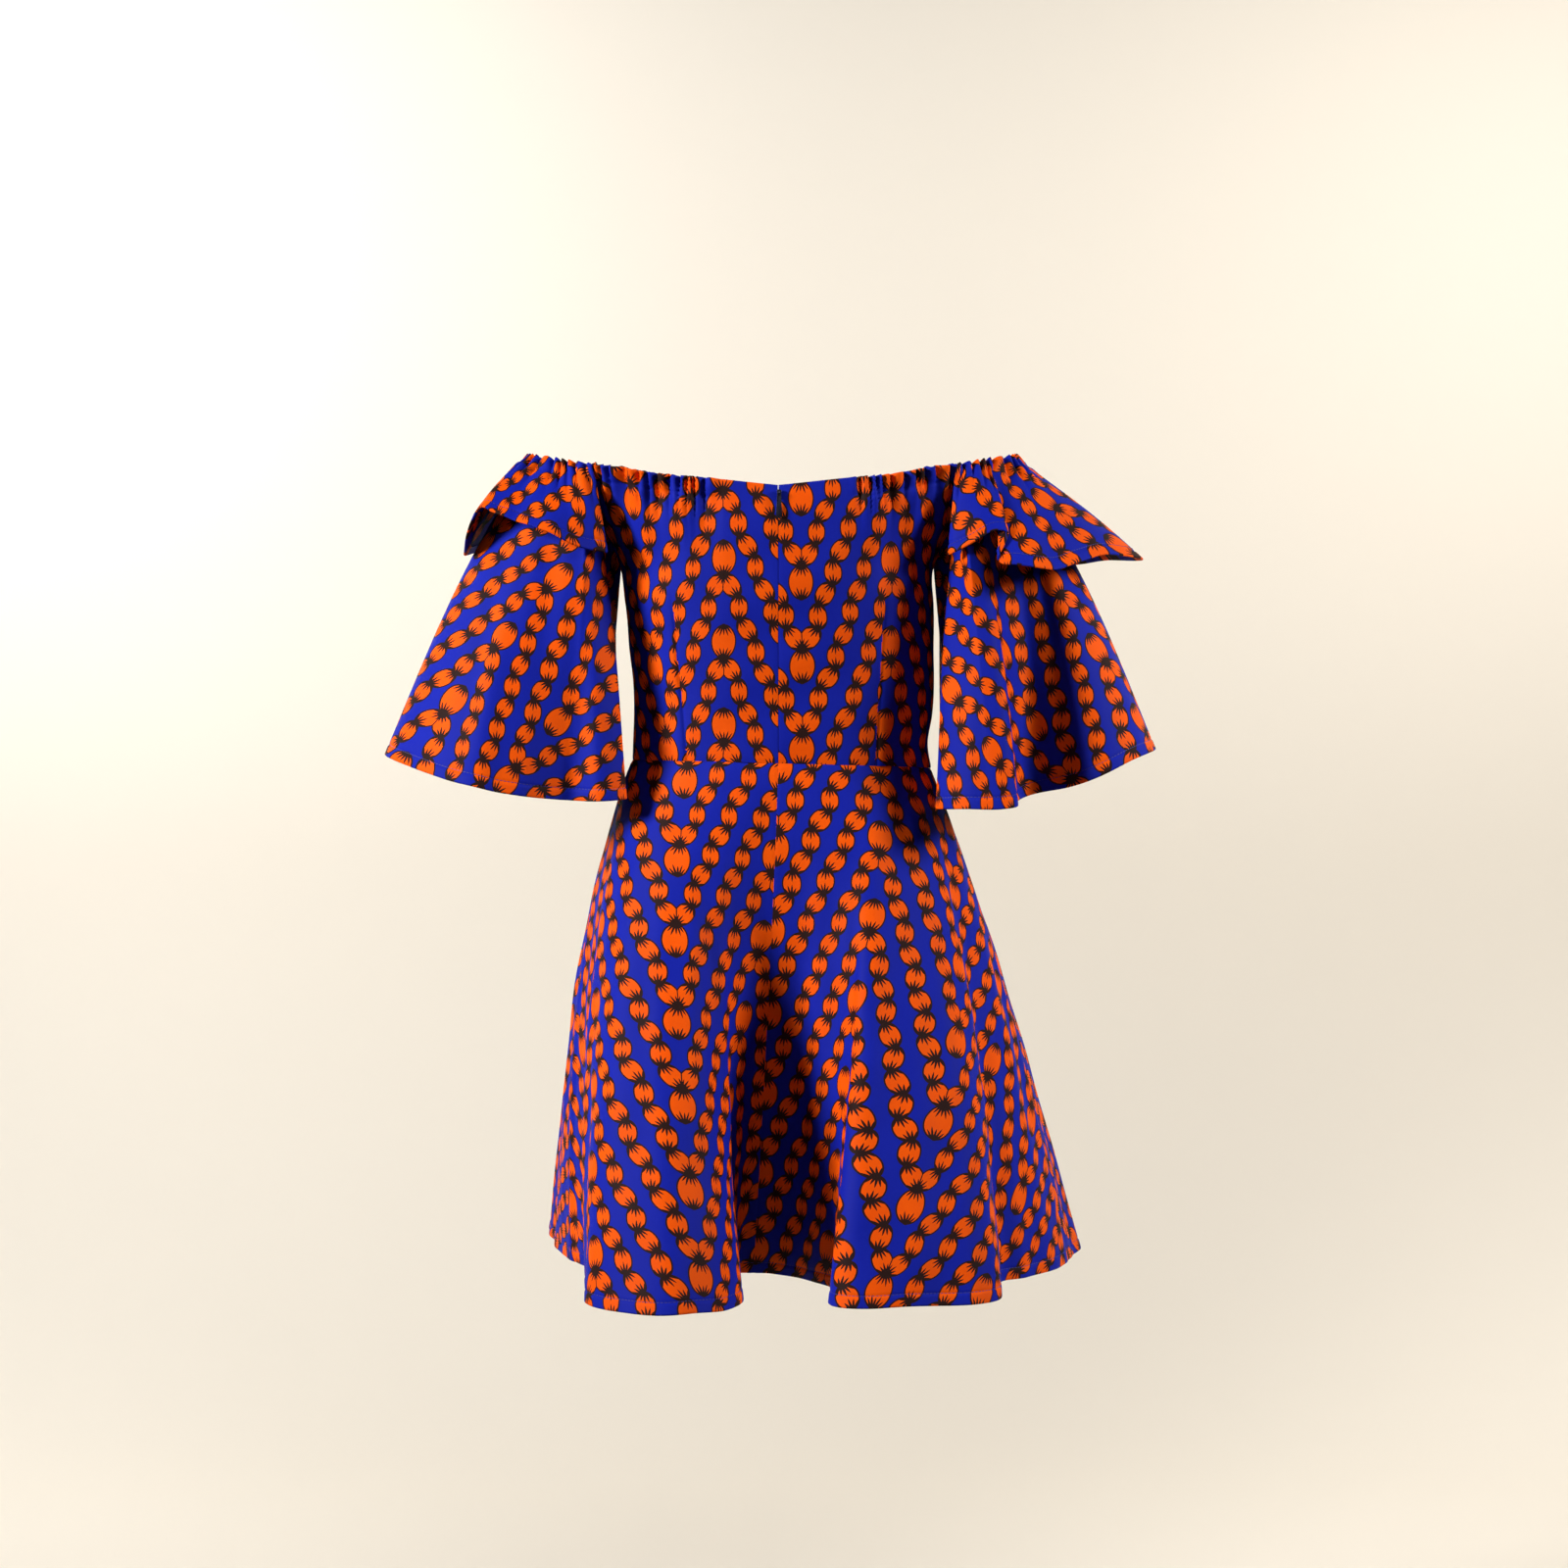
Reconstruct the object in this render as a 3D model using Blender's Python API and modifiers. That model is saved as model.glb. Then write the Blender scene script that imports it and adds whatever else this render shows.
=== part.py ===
"""An off-shoulder dress with flounced sleeves and a flared skirt, in its worn shape.

Metres, +Z up. The wearer faces -Y and the wearer's left is +X. The origin is
the middle of the neckline loop, at the height of its casing.
"""

import math

import bmesh
import bpy
import numpy as np

CLOTH = 0.0012  # thickness of one layer as modelled
SEAM = 0.0004  # space left between two pieces along a seam
WAIST_SEAM = 0.0008  # the same at the waist, where the skirt starts to flare
SLEEVE_OFF = 0.0018  # how far the sleeve's edge lies outside the raglan seam
FLOUNCE_OFF = 0.0042  # how far the flounce stands off the neckline seam
METAL_GAP = 0.0003  # space left between the slider and what lies beside it

WAIST_HEIGHT = -0.2635
WAIST_TILT = 0.026  # rise of the waist seam per metre towards the wearer's left
HEM_HEIGHT = -0.714
RAGLAN_TOP = 50.0  # degrees from centre back, where the raglan seam meets the neckline
UNDERARM = 90.0
UNDERARM_HEIGHT = -0.088
SQUARENESS = 0.9  # 1 gives an ellipse, less gives a flatter back and front

# Degrees round the body from centre back, by the wearer's left.
CENTRE_BACK = 0.0
SIDE_LEFT = 90.0
SIDE_RIGHT = 270.0
FULL_TURN = 360.0

BODICE_STEP = 5.0  # degrees between two columns
BODICE_RADIUS = 0.13  # rough, to turn a width along a seam into degrees
SKIRT_TOP_WIDTH = 0.2  # rough, to turn a width along a seam into a share
BODICE_ROWS = 7
SLEEVE_COLUMNS = 40
SLEEVE_ROWS = 6
FLOUNCE_COLUMNS = 36
FLOUNCE_ROWS = 3
SKIRT_ROWS = 9
SKIRT_BACK_COLUMNS = 27
SKIRT_FRONT_COLUMNS = 38
HEM_SAMPLES = 400  # points that measure the length of a hem

# The torso: height, half width on the left, half width on the right, depth of
# the back and depth of the front.
TORSO = (
    (-0.2700, 0.1310, 0.1370, 0.0890, 0.0980),
    (-0.2460, 0.1300, 0.1335, 0.0905, 0.1010),
    (-0.2200, 0.1290, 0.1375, 0.0930, 0.1060),
    (-0.1900, 0.1300, 0.1390, 0.0965, 0.1140),
    (-0.1600, 0.1330, 0.1390, 0.1010, 0.1230),
    (-0.1200, 0.1370, 0.1385, 0.1070, 0.1300),
    (-0.0880, 0.1410, 0.1390, 0.1105, 0.1280),
    (-0.0440, 0.1680, 0.1650, 0.1110, 0.1180),
    (0.0120, 0.2220, 0.2110, 0.1060, 0.1060),
)

# The neckline: degrees from centre back, height.
NECKLINE = (
    (0.0, -0.0254),
    (16.0, -0.0190),
    (31.0, -0.0130),
    (41.0, -0.0065),
    (50.0, -0.0030),
    (70.0, 0.0060),
    (90.0, 0.0115),
    (112.0, 0.0030),
    (135.0, -0.0120),
    (158.0, -0.0340),
    (180.0, -0.0420),
)

# Each raglan seam takes this share of the way round a sleeve's seamed edge, and
# the neckline takes the rest.
RAGLAN_SHARE = 0.2
SLEEVE_MIDDLE = 0.170  # how far the middle of a sleeve's top lies from the origin

# Sleeve hems: share of the way round from the underarm by the back, then x, y
# and z.
SLEEVE_HEM_LEFT = (
    (0.00, 0.1580, 0.0000, -0.2900),
    (0.06, 0.1480, 0.0550, -0.2920),
    (0.11, 0.1320, 0.0860, -0.2935),
    (0.16, 0.1540, 0.0990, -0.2955),
    (0.21, 0.1830, 0.0880, -0.2945),
    (0.28, 0.2230, 0.1080, -0.2905),
    (0.35, 0.2630, 0.1170, -0.2825),
    (0.42, 0.3050, 0.0950, -0.2705),
    (0.46, 0.3350, 0.0560, -0.2605),
    (0.50, 0.3530, 0.0100, -0.2540),
    (0.54, 0.3520, -0.0450, -0.2550),
    (0.60, 0.3250, -0.0950, -0.2630),
    (0.67, 0.2850, -0.1180, -0.2720),
    (0.74, 0.2400, -0.1020, -0.2800),
    (0.80, 0.2050, -0.1180, -0.2860),
    (0.87, 0.1650, -0.1080, -0.2900),
    (0.93, 0.1500, -0.0620, -0.2920),
    (1.00, 0.1580, 0.0000, -0.2900),
)
SLEEVE_HEM_RIGHT = (
    (0.000, -0.1580, 0.0000, -0.2960),
    (0.060, -0.1500, 0.0550, -0.3000),
    (0.110, -0.1370, 0.0920, -0.3020),
    (0.165, -0.1650, 0.1180, -0.3020),
    (0.215, -0.1910, 0.1260, -0.3020),
    (0.250, -0.2045, 0.1170, -0.3000),
    (0.285, -0.2080, 0.0800, -0.2960),
    (0.325, -0.2260, 0.0540, -0.2890),
    (0.370, -0.2550, 0.0670, -0.2830),
    (0.410, -0.2810, 0.0850, -0.2730),
    (0.450, -0.3080, 0.0720, -0.2600),
    (0.500, -0.3370, 0.0120, -0.2500),
    (0.550, -0.3360, -0.0450, -0.2510),
    (0.610, -0.3080, -0.0920, -0.2620),
    (0.680, -0.2680, -0.1080, -0.2740),
    (0.740, -0.2320, -0.0940, -0.2830),
    (0.800, -0.1980, -0.1120, -0.2900),
    (0.870, -0.1650, -0.1040, -0.2940),
    (0.930, -0.1500, -0.0620, -0.2950),
    (1.000, -0.1580, 0.0000, -0.2960),
)

# Flounce edges, with the same columns. The ends lie along the raglan seams.
FLOUNCE_EDGE_LEFT = (
    (0.10, 0.1490, 0.0820, -0.0795),
    (0.13, 0.1560, 0.0890, -0.0785),
    (0.18, 0.1740, 0.0980, -0.0750),
    (0.25, 0.2050, 0.1030, -0.0600),
    (0.32, 0.2300, 0.0920, -0.0520),
    (0.38, 0.2480, 0.0880, -0.0440),
    (0.43, 0.2620, 0.0760, -0.0430),
    (0.47, 0.2760, 0.0520, -0.0680),
    (0.50, 0.2810, 0.0100, -0.0750),
    (0.55, 0.2780, -0.0450, -0.0700),
    (0.62, 0.2560, -0.0820, -0.0600),
    (0.70, 0.2200, -0.1000, -0.0700),
    (0.80, 0.1830, -0.1100, -0.0780),
    (0.86, 0.1610, -0.0980, -0.0800),
    (0.90, 0.1490, -0.0880, -0.0800),
)
FLOUNCE_EDGE_RIGHT = (
    (0.100, -0.1480, 0.0880, -0.0825),
    (0.130, -0.1550, 0.0980, -0.0790),
    (0.160, -0.1700, 0.1060, -0.0710),
    (0.200, -0.1860, 0.1060, -0.0625),
    (0.235, -0.1980, 0.1060, -0.0660),
    (0.270, -0.1900, 0.1130, -0.0885),
    (0.310, -0.2060, 0.1200, -0.0930),
    (0.360, -0.2360, 0.1130, -0.0960),
    (0.410, -0.2620, 0.0920, -0.0880),
    (0.450, -0.2860, 0.0680, -0.0800),
    (0.490, -0.3160, 0.0340, -0.0790),
    (0.515, -0.3260, 0.0000, -0.0800),
    (0.560, -0.3000, -0.0500, -0.0760),
    (0.640, -0.2620, -0.0870, -0.0800),
    (0.720, -0.2250, -0.1060, -0.0880),
    (0.800, -0.1880, -0.1110, -0.0840),
    (0.860, -0.1620, -0.0990, -0.0830),
    (0.900, -0.1480, -0.0890, -0.0830),
)

# Skirt hems, panel by panel and seam to seam: x, y.
HEM_BACK_LEFT = (
    (0.0220, 0.0350),
    (0.0340, 0.0370),
    (0.0410, 0.0600),
    (0.0370, 0.1100),
    (0.0300, 0.1670),
    (0.0395, 0.2100),
    (0.0665, 0.2280),
    (0.0925, 0.2390),
    (0.1220, 0.2280),
    (0.1550, 0.1940),
    (0.1640, 0.1200),
    (0.1620, 0.0500),
    (0.1680, 0.0050),
    (0.1900, -0.0340),
)
HEM_FRONT = (
    (0.1900, -0.0340),
    (0.2060, -0.1000),
    (0.2180, -0.1800),
    (0.2230, -0.2450),
    (0.1950, -0.2850),
    (0.1450, -0.2750),
    (0.1050, -0.2150),
    (0.0700, -0.1850),
    (0.0350, -0.2250),
    (0.0000, -0.2650),
    (-0.0450, -0.2650),
    (-0.0800, -0.2150),
    (-0.1150, -0.1850),
    (-0.1450, -0.2250),
    (-0.1850, -0.2700),
    (-0.2350, -0.2550),
    (-0.2700, -0.1900),
    (-0.2800, -0.1070),
    (-0.2640, -0.0350),
)
HEM_BACK_RIGHT = (
    (-0.2640, -0.0350),
    (-0.2480, 0.0120),
    (-0.2180, 0.0550),
    (-0.1950, 0.0750),
    (-0.1900, 0.1250),
    (-0.1860, 0.1650),
    (-0.1650, 0.1870),
    (-0.1310, 0.1940),
    (-0.1040, 0.1990),
    (-0.0780, 0.2070),
    (-0.0545, 0.2040),
    (-0.0420, 0.1850),
    (-0.0480, 0.1450),
    (-0.0420, 0.1000),
    (-0.0210, 0.0620),
    (0.0050, 0.0380),
    (0.0220, 0.0350),
)

# The hidden loop that the skirt would fall to without folds, as half widths.
CALM_SIDE = 0.232
CALM_BACK = 0.185
CALM_FRONT = 0.235
FOLD_START = 1.2  # power by which the folds deepen from the waist to the hem
HIP_LEFT = 0.020  # how far the hips push the skirt out from a straight fall
HIP_RIGHT = 0.013
HIP_BACK = 0.010
HIP_PEAK = 0.85  # power that sets the height of the widest hip

SHOULDER_ROUND = 0.009  # outward curve of the sleeve over the top of the arm
SHOULDER_PEAK = 0.85  # power that sets how high the sleeve curves most
FLOUNCE_ROUND = 0.005

ZIP_X = -0.0008
ZIP_LENGTH = 0.375
ZIP_TAPE = 0.011  # half width of the two tapes together
ZIP_TAPE_THICK = 0.0006
ZIP_COIL = 0.0019
ZIP_INSIDE = 0.0022  # how far the tape's middle lies inside the panels' middle
ZIP_STEPS = 16
SLIDER_SIZE = (0.0042, 0.0026, 0.0078)  # across, out, down
SLIDER_TOP = -0.0285
PULL_LENGTH = 0.0230
PULL_WIDTH = 0.0050
PULL_THICK = 0.0009
PULL_ABOVE_PIN = 0.0006
PULL_PIN_SHARE = 0.35  # how far down the slider the pin lies
PULL_NECK = 0.30  # width at the pin's end, as a share of the width near the foot
PULL_FLARE = 0.8  # power by which the tab widens
PULL_POINTS = 24
EDGE_ROUND = 0.3  # rounding of the slider, as a share of its least side
EDGE_STEPS = 2

# Finishes: colour, roughness, metallic.
PRINTED_COTTON = ((0.020, 0.016, 0.400, 1.0), 0.65, 0.0)
TAPE_CLOTH = ((0.012, 0.012, 0.160, 1.0), 0.80, 0.0)
SLIDER_METAL = ((0.030, 0.030, 0.045, 1.0), 0.35, 1.0)
PULL_METAL = ((0.030, 0.030, 0.045, 1.0), 0.30, 1.0)


def clear_scene():
    for thing in list(bpy.data.objects):
        bpy.data.objects.remove(thing, do_unlink=True)


def material(name, finish):
    colour, roughness, metallic = finish
    made = bpy.data.materials.new(name)
    made.use_nodes = True
    shader = made.node_tree.nodes["Principled BSDF"]
    shader.inputs["Base Color"].default_value = colour
    shader.inputs["Roughness"].default_value = roughness
    shader.inputs["Metallic"].default_value = metallic
    return made


def through(table, at):
    """The smooth curve through a table whose first column is its key."""
    rows = np.array(table)
    keys = rows[:, 0]
    values = rows[:, 1:]
    slopes = np.gradient(values, keys, axis=0)
    if np.allclose(values[0], values[-1]):
        round_trip = keys[1] - keys[0] + keys[-1] - keys[-2]
        slopes[0] = (values[1] - values[-2]) / round_trip
        slopes[-1] = slopes[0]
    at = np.clip(np.asarray(at, float), keys[0], keys[-1])
    low = np.clip(np.searchsorted(keys, at, side="right") - 1, 0, len(keys) - 2)
    span = (keys[low + 1] - keys[low])[..., None]
    part = (at - keys[low])[..., None] / span
    start = values[low] * (2 * part**3 - 3 * part**2 + 1)
    end = values[low + 1] * (3 * part**2 - 2 * part**3)
    leave = slopes[low] * span * (part**3 - 2 * part**2 + part)
    arrive = slopes[low + 1] * span * (part**3 - part**2)
    return start + end + leave + arrive


def signed_power(value, power):
    return np.sign(value) * np.abs(value) ** power


def torso(degrees, height):
    """Points of the body's loop at these angles from centre back and heights."""
    left, right, back, front = np.moveaxis(through(TORSO, height), -1, 0)
    sine = signed_power(np.sin(np.radians(degrees)), SQUARENESS)
    cosine = signed_power(np.cos(np.radians(degrees)), SQUARENESS)
    side = np.where(sine > 0, left, right)
    depth = np.where(cosine > 0, back, front)
    return np.stack([side * sine, depth * cosine, height + 0 * sine], -1)


def from_back(degrees):
    """Degrees from centre back, whichever side they are on."""
    turned = np.mod(np.asarray(degrees, float), FULL_TURN)
    return np.minimum(turned, FULL_TURN - turned)


def neckline_height(degrees):
    return through(NECKLINE, from_back(degrees))[..., 0]


def bodice_top(degrees):
    """The neckline, or the raglan seam that dips from it to the underarm."""
    away = from_back(degrees)
    toward = np.abs(away - UNDERARM) / (UNDERARM - RAGLAN_TOP)
    corner = np.where(away < UNDERARM, RAGLAN_TOP, 180 - RAGLAN_TOP)
    seam_height = UNDERARM_HEIGHT + (neckline_height(corner) - UNDERARM_HEIGHT) * toward
    return np.where(toward >= 1, neckline_height(degrees), seam_height)


def waist_height(x):
    return WAIST_HEIGHT + WAIST_TILT * x


def bodice_sheet(first, last):
    """Rows of points from the waist up to the top edge."""
    edge = math.degrees(SEAM / 2 / BODICE_RADIUS)
    count = round((last - first) / BODICE_STEP)
    degrees = np.linspace(first, last, count + 1)
    degrees[0] += edge
    degrees[-1] -= edge
    waist = waist_height(torso(degrees, np.full(count + 1, WAIST_HEIGHT))[:, 0])
    top = bodice_top(degrees)
    rise = np.linspace(0, 1, BODICE_ROWS + 1)[:, None]
    return torso(degrees + 0 * rise, waist + (top - waist) * rise)


def sleeve_seam(share, side):
    """The sleeve's seamed edge: raglan seam, neckline, raglan seam."""
    share = np.asarray(share, float)
    over_share = 1 - 2 * RAGLAN_SHARE
    front_seam = 1 - RAGLAN_SHARE
    up_back = np.clip(share / RAGLAN_SHARE, 0, 1)
    over = np.clip((share - RAGLAN_SHARE) / over_share, 0, 1)
    down_front = np.clip((share - front_seam) / RAGLAN_SHARE, 0, 1)
    degrees = UNDERARM + (RAGLAN_TOP - UNDERARM) * up_back
    degrees = degrees + (180 - 2 * RAGLAN_TOP) * over
    degrees = degrees + (RAGLAN_TOP - UNDERARM) * down_front
    on_raglan = (share < RAGLAN_SHARE) | (share > front_seam)
    height = np.where(on_raglan, bodice_top(degrees), neckline_height(degrees))
    return torso(side * degrees, height)


def outward(points, side):
    """Level directions away from the middle of the sleeve's top."""
    middle = np.array([side * SLEEVE_MIDDLE, 0.0, 0.0])
    away = (points - middle) * np.array([1.0, 1.0, 0.0])
    return away / np.linalg.norm(away, axis=-1, keepdims=True)


def off_body(share):
    """1 over the arm, falling to 0 at the underarm."""
    return np.clip(np.minimum(share, 1 - share) / RAGLAN_SHARE, 0, 1)


def seam_outward(points):
    """Level directions straight out from the body's loop at a seam."""
    away = points * np.array([1.0, 2.0, 0.0])
    return away / np.linalg.norm(away, axis=-1, keepdims=True)


def sleeve_sheet(hem, side):
    share = np.arange(SLEEVE_COLUMNS) / SLEEVE_COLUMNS
    top = sleeve_seam(share, side)
    bottom = through(hem, share)
    over_arm = off_body(share)[:, None]
    top = top + seam_outward(top) * SLEEVE_OFF
    fall = np.linspace(0, 1, SLEEVE_ROWS + 1)[:, None, None]
    swell = SHOULDER_ROUND * np.sin(np.pi * fall**SHOULDER_PEAK) * over_arm
    return top + (bottom - top) * fall + outward(bottom, side) * swell


def flounce_sheet(edge, side):
    along = np.linspace(0, 1, FLOUNCE_COLUMNS + 1)
    top = sleeve_seam(RAGLAN_SHARE + (1 - 2 * RAGLAN_SHARE) * along, side)
    top = top + outward(top, side) * FLOUNCE_OFF
    bottom = through(edge, edge[0][0] + (edge[-1][0] - edge[0][0]) * along)
    fall = np.linspace(0, 1, FLOUNCE_ROWS + 1)[:, None, None]
    swell = FLOUNCE_ROUND * np.sin(np.pi * fall)
    return top + (bottom - top) * fall + outward(bottom, side) * swell


def by_length(points, share):
    """Places along a smooth line, given as shares of its length."""
    fine = through(
        np.column_stack([np.arange(len(points)), points]),
        np.linspace(0, len(points) - 1, HEM_SAMPLES),
    )
    steps = np.linalg.norm(np.diff(fine, axis=0), axis=1)
    along = np.concatenate([[0], np.cumsum(steps)])
    along = along / along[-1]
    return np.stack([np.interp(share, along, fine[:, k]) for k in range(2)], -1)


def skirt_sheet(hem, first, last, columns):
    """Rows of points from the waist down to the hem."""
    share = np.linspace(0, 1, columns + 1)
    edge = SEAM / 2 / SKIRT_TOP_WIDTH
    share[0] = edge
    share[-1] = 1 - edge
    degrees = first + (last - first) * share
    waist = torso(degrees, np.full(columns + 1, WAIST_HEIGHT))
    waist[:, 2] = waist_height(waist[:, 0]) - WAIST_SEAM
    sine = np.sin(np.radians(degrees))
    cosine = np.cos(np.radians(degrees))
    calm_depth = np.where(cosine > 0, CALM_BACK, CALM_FRONT)
    calm = np.stack([CALM_SIDE * sine, calm_depth * cosine], -1)
    folds = by_length(np.array(hem), share) - calm
    fall = np.linspace(0, 1, SKIRT_ROWS + 1)[:, None]
    hips = np.sin(np.pi * fall**HIP_PEAK)
    level = waist[:, :2] + (calm - waist[:, :2]) * fall[..., None]
    level = level + folds * (fall**FOLD_START)[..., None]
    hip_side = np.where(sine > 0, HIP_LEFT, HIP_RIGHT)
    push = np.stack([hip_side * sine, HIP_BACK * cosine], -1)
    level = level + push * hips[..., None]
    height = waist[:, 2] + (HEM_HEIGHT - waist[:, 2]) * fall
    return np.concatenate([level, height[..., None]], -1)


def cloth(name, grid, closed, home):
    """One sheet of cloth through a grid of points, thickened evenly."""
    rows, columns = grid.shape[:2]
    mesh = bpy.data.meshes.new(name)
    faces = []
    for row in range(rows - 1):
        for column in range(columns if closed else columns - 1):
            here = row * columns + column
            beside = row * columns + (column + 1) % columns
            faces.append((here, beside, beside + columns, here + columns))
    mesh.from_pydata([tuple(point) for point in grid.reshape(-1, 3)], [], faces)
    made = bpy.data.objects.new(name, mesh)
    home.objects.link(made)
    made.data.materials.append(material(name, PRINTED_COTTON))
    mesh.polygons.foreach_set("use_smooth", [True] * len(mesh.polygons))
    thick = made.modifiers.new("Thickness", "SOLIDIFY")
    thick.thickness = CLOTH
    thick.offset = 0.0
    thick.use_rim = True


def rounded_block(name, size, place, finish, home):
    """A block with rounded edges, standing at a place."""
    shape = bmesh.new()
    bmesh.ops.create_cube(shape, size=1.0)
    bmesh.ops.scale(shape, vec=size, verts=shape.verts)
    mesh = bpy.data.meshes.new(name)
    shape.to_mesh(mesh)
    shape.free()
    made = bpy.data.objects.new(name, mesh)
    home.objects.link(made)
    made.location = place
    made.data.materials.append(material(name, finish))
    bevel = made.modifiers.new("Edges", "BEVEL")
    bevel.width = min(size) * EDGE_ROUND
    bevel.segments = EDGE_STEPS


def zip_chain(home):
    """Two tapes and the coil between them, following the panels on the inside."""
    height = np.linspace(SLIDER_TOP, SLIDER_TOP - ZIP_LENGTH, ZIP_STEPS + 1)
    back = skirt_sheet(HEM_BACK_LEFT, CENTRE_BACK, SIDE_LEFT, SKIRT_BACK_COLUMNS)
    back_seam = back[:, 0]
    depth = torso(np.zeros(ZIP_STEPS + 1), height)[:, 1]
    below = height < WAIST_HEIGHT
    x = np.full(ZIP_STEPS + 1, 0.0)
    x[below] = np.interp(-height[below], -back_seam[:, 2], back_seam[:, 0])
    depth[below] = np.interp(-height[below], -back_seam[:, 2], back_seam[:, 1])
    half = ZIP_TAPE_THICK / 2
    section = (
        (-ZIP_TAPE / 2, -half),
        (-ZIP_COIL / 2, -half),
        (-ZIP_COIL / 2, -ZIP_COIL),
        (ZIP_COIL / 2, -ZIP_COIL),
        (ZIP_COIL / 2, -half),
        (ZIP_TAPE / 2, -half),
        (ZIP_TAPE / 2, half),
        (-ZIP_TAPE / 2, half),
    )
    shape = bmesh.new()
    rings = []
    for step in range(ZIP_STEPS + 1):
        ring = []
        for across, out in section:
            place = (x[step] + across, depth[step] - ZIP_INSIDE + out, height[step])
            ring.append(shape.verts.new(place))
        rings.append(ring)
    for upper, lower in zip(rings[:-1], rings[1:]):
        for k in range(len(section)):
            after = (k + 1) % len(section)
            shape.faces.new((upper[k], lower[k], lower[after], upper[after]))
    shape.faces.new(rings[0])
    shape.faces.new(rings[-1][::-1])
    bmesh.ops.recalc_face_normals(shape, faces=shape.faces)
    mesh = bpy.data.meshes.new("zip_chain")
    shape.to_mesh(mesh)
    shape.free()
    made = bpy.data.objects.new("zip_chain", mesh)
    home.objects.link(made)
    made.data.materials.append(material("zip_chain", TAPE_CLOTH))


def zip_slider(home):
    """The slider outside the panels. Gives the y of its outer face."""
    across, out, down = SLIDER_SIZE
    middle = SLIDER_TOP - down / 2
    back = torso(np.array([0.0]), np.array([middle]))[0, 1]
    y = back + CLOTH / 2 + METAL_GAP + out / 2
    rounded_block("zip_slider", SLIDER_SIZE, (ZIP_X, y, middle), SLIDER_METAL, home)
    return y + out / 2


def zip_pull_tab(home, face_y):
    """A flat teardrop that hangs from a pin across the slider's face."""
    pin_z = SLIDER_TOP - SLIDER_SIZE[2] * PULL_PIN_SHARE
    pin_y = face_y + METAL_GAP + PULL_THICK / 2
    shape = bmesh.new()
    outline = []
    for step in range(PULL_POINTS):
        turn = 2 * math.pi * step / PULL_POINTS
        down = 0.5 - 0.5 * math.cos(turn)
        wide = math.sin(turn) * (PULL_NECK + (1 - PULL_NECK) * down**PULL_FLARE)
        outline.append((wide * PULL_WIDTH / 2, PULL_ABOVE_PIN - down * PULL_LENGTH))
    for side in (-PULL_THICK / 2, PULL_THICK / 2):
        ring = [shape.verts.new((x, side, z)) for x, z in outline]
        shape.faces.new(ring)
    shape.verts.ensure_lookup_table()
    for k in range(PULL_POINTS):
        after = (k + 1) % PULL_POINTS
        corners = (k, after, after + PULL_POINTS, k + PULL_POINTS)
        shape.faces.new([shape.verts[n] for n in corners])
    bmesh.ops.recalc_face_normals(shape, faces=shape.faces)
    mesh = bpy.data.meshes.new("zip_pull_tab")
    shape.to_mesh(mesh)
    shape.free()
    made = bpy.data.objects.new("zip_pull_tab", mesh)
    home.objects.link(made)
    made.location = (ZIP_X, pin_y, pin_z)
    made.data.materials.append(material("zip_pull_tab", PULL_METAL))


def main():
    clear_scene()
    home = bpy.data.collections.new("wax_print_dress")
    bpy.context.scene.collection.children.link(home)
    cloth("bodice_back_left", bodice_sheet(CENTRE_BACK, SIDE_LEFT), False, home)
    cloth("bodice_front", bodice_sheet(SIDE_LEFT, SIDE_RIGHT), False, home)
    cloth("bodice_back_right", bodice_sheet(SIDE_RIGHT, FULL_TURN), False, home)
    cloth("sleeve_left", sleeve_sheet(SLEEVE_HEM_LEFT, 1), True, home)
    cloth("sleeve_right", sleeve_sheet(SLEEVE_HEM_RIGHT, -1), True, home)
    cloth("flounce_left", flounce_sheet(FLOUNCE_EDGE_LEFT, 1), False, home)
    cloth("flounce_right", flounce_sheet(FLOUNCE_EDGE_RIGHT, -1), False, home)
    back_left = skirt_sheet(HEM_BACK_LEFT, CENTRE_BACK, SIDE_LEFT, SKIRT_BACK_COLUMNS)
    front = skirt_sheet(HEM_FRONT, SIDE_LEFT, SIDE_RIGHT, SKIRT_FRONT_COLUMNS)
    back_right = skirt_sheet(HEM_BACK_RIGHT, SIDE_RIGHT, FULL_TURN, SKIRT_BACK_COLUMNS)
    cloth("skirt_back_left", back_left, False, home)
    cloth("skirt_front", front, False, home)
    cloth("skirt_back_right", back_right, False, home)
    zip_chain(home)
    zip_pull_tab(home, zip_slider(home))


main()
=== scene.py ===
import math

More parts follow.
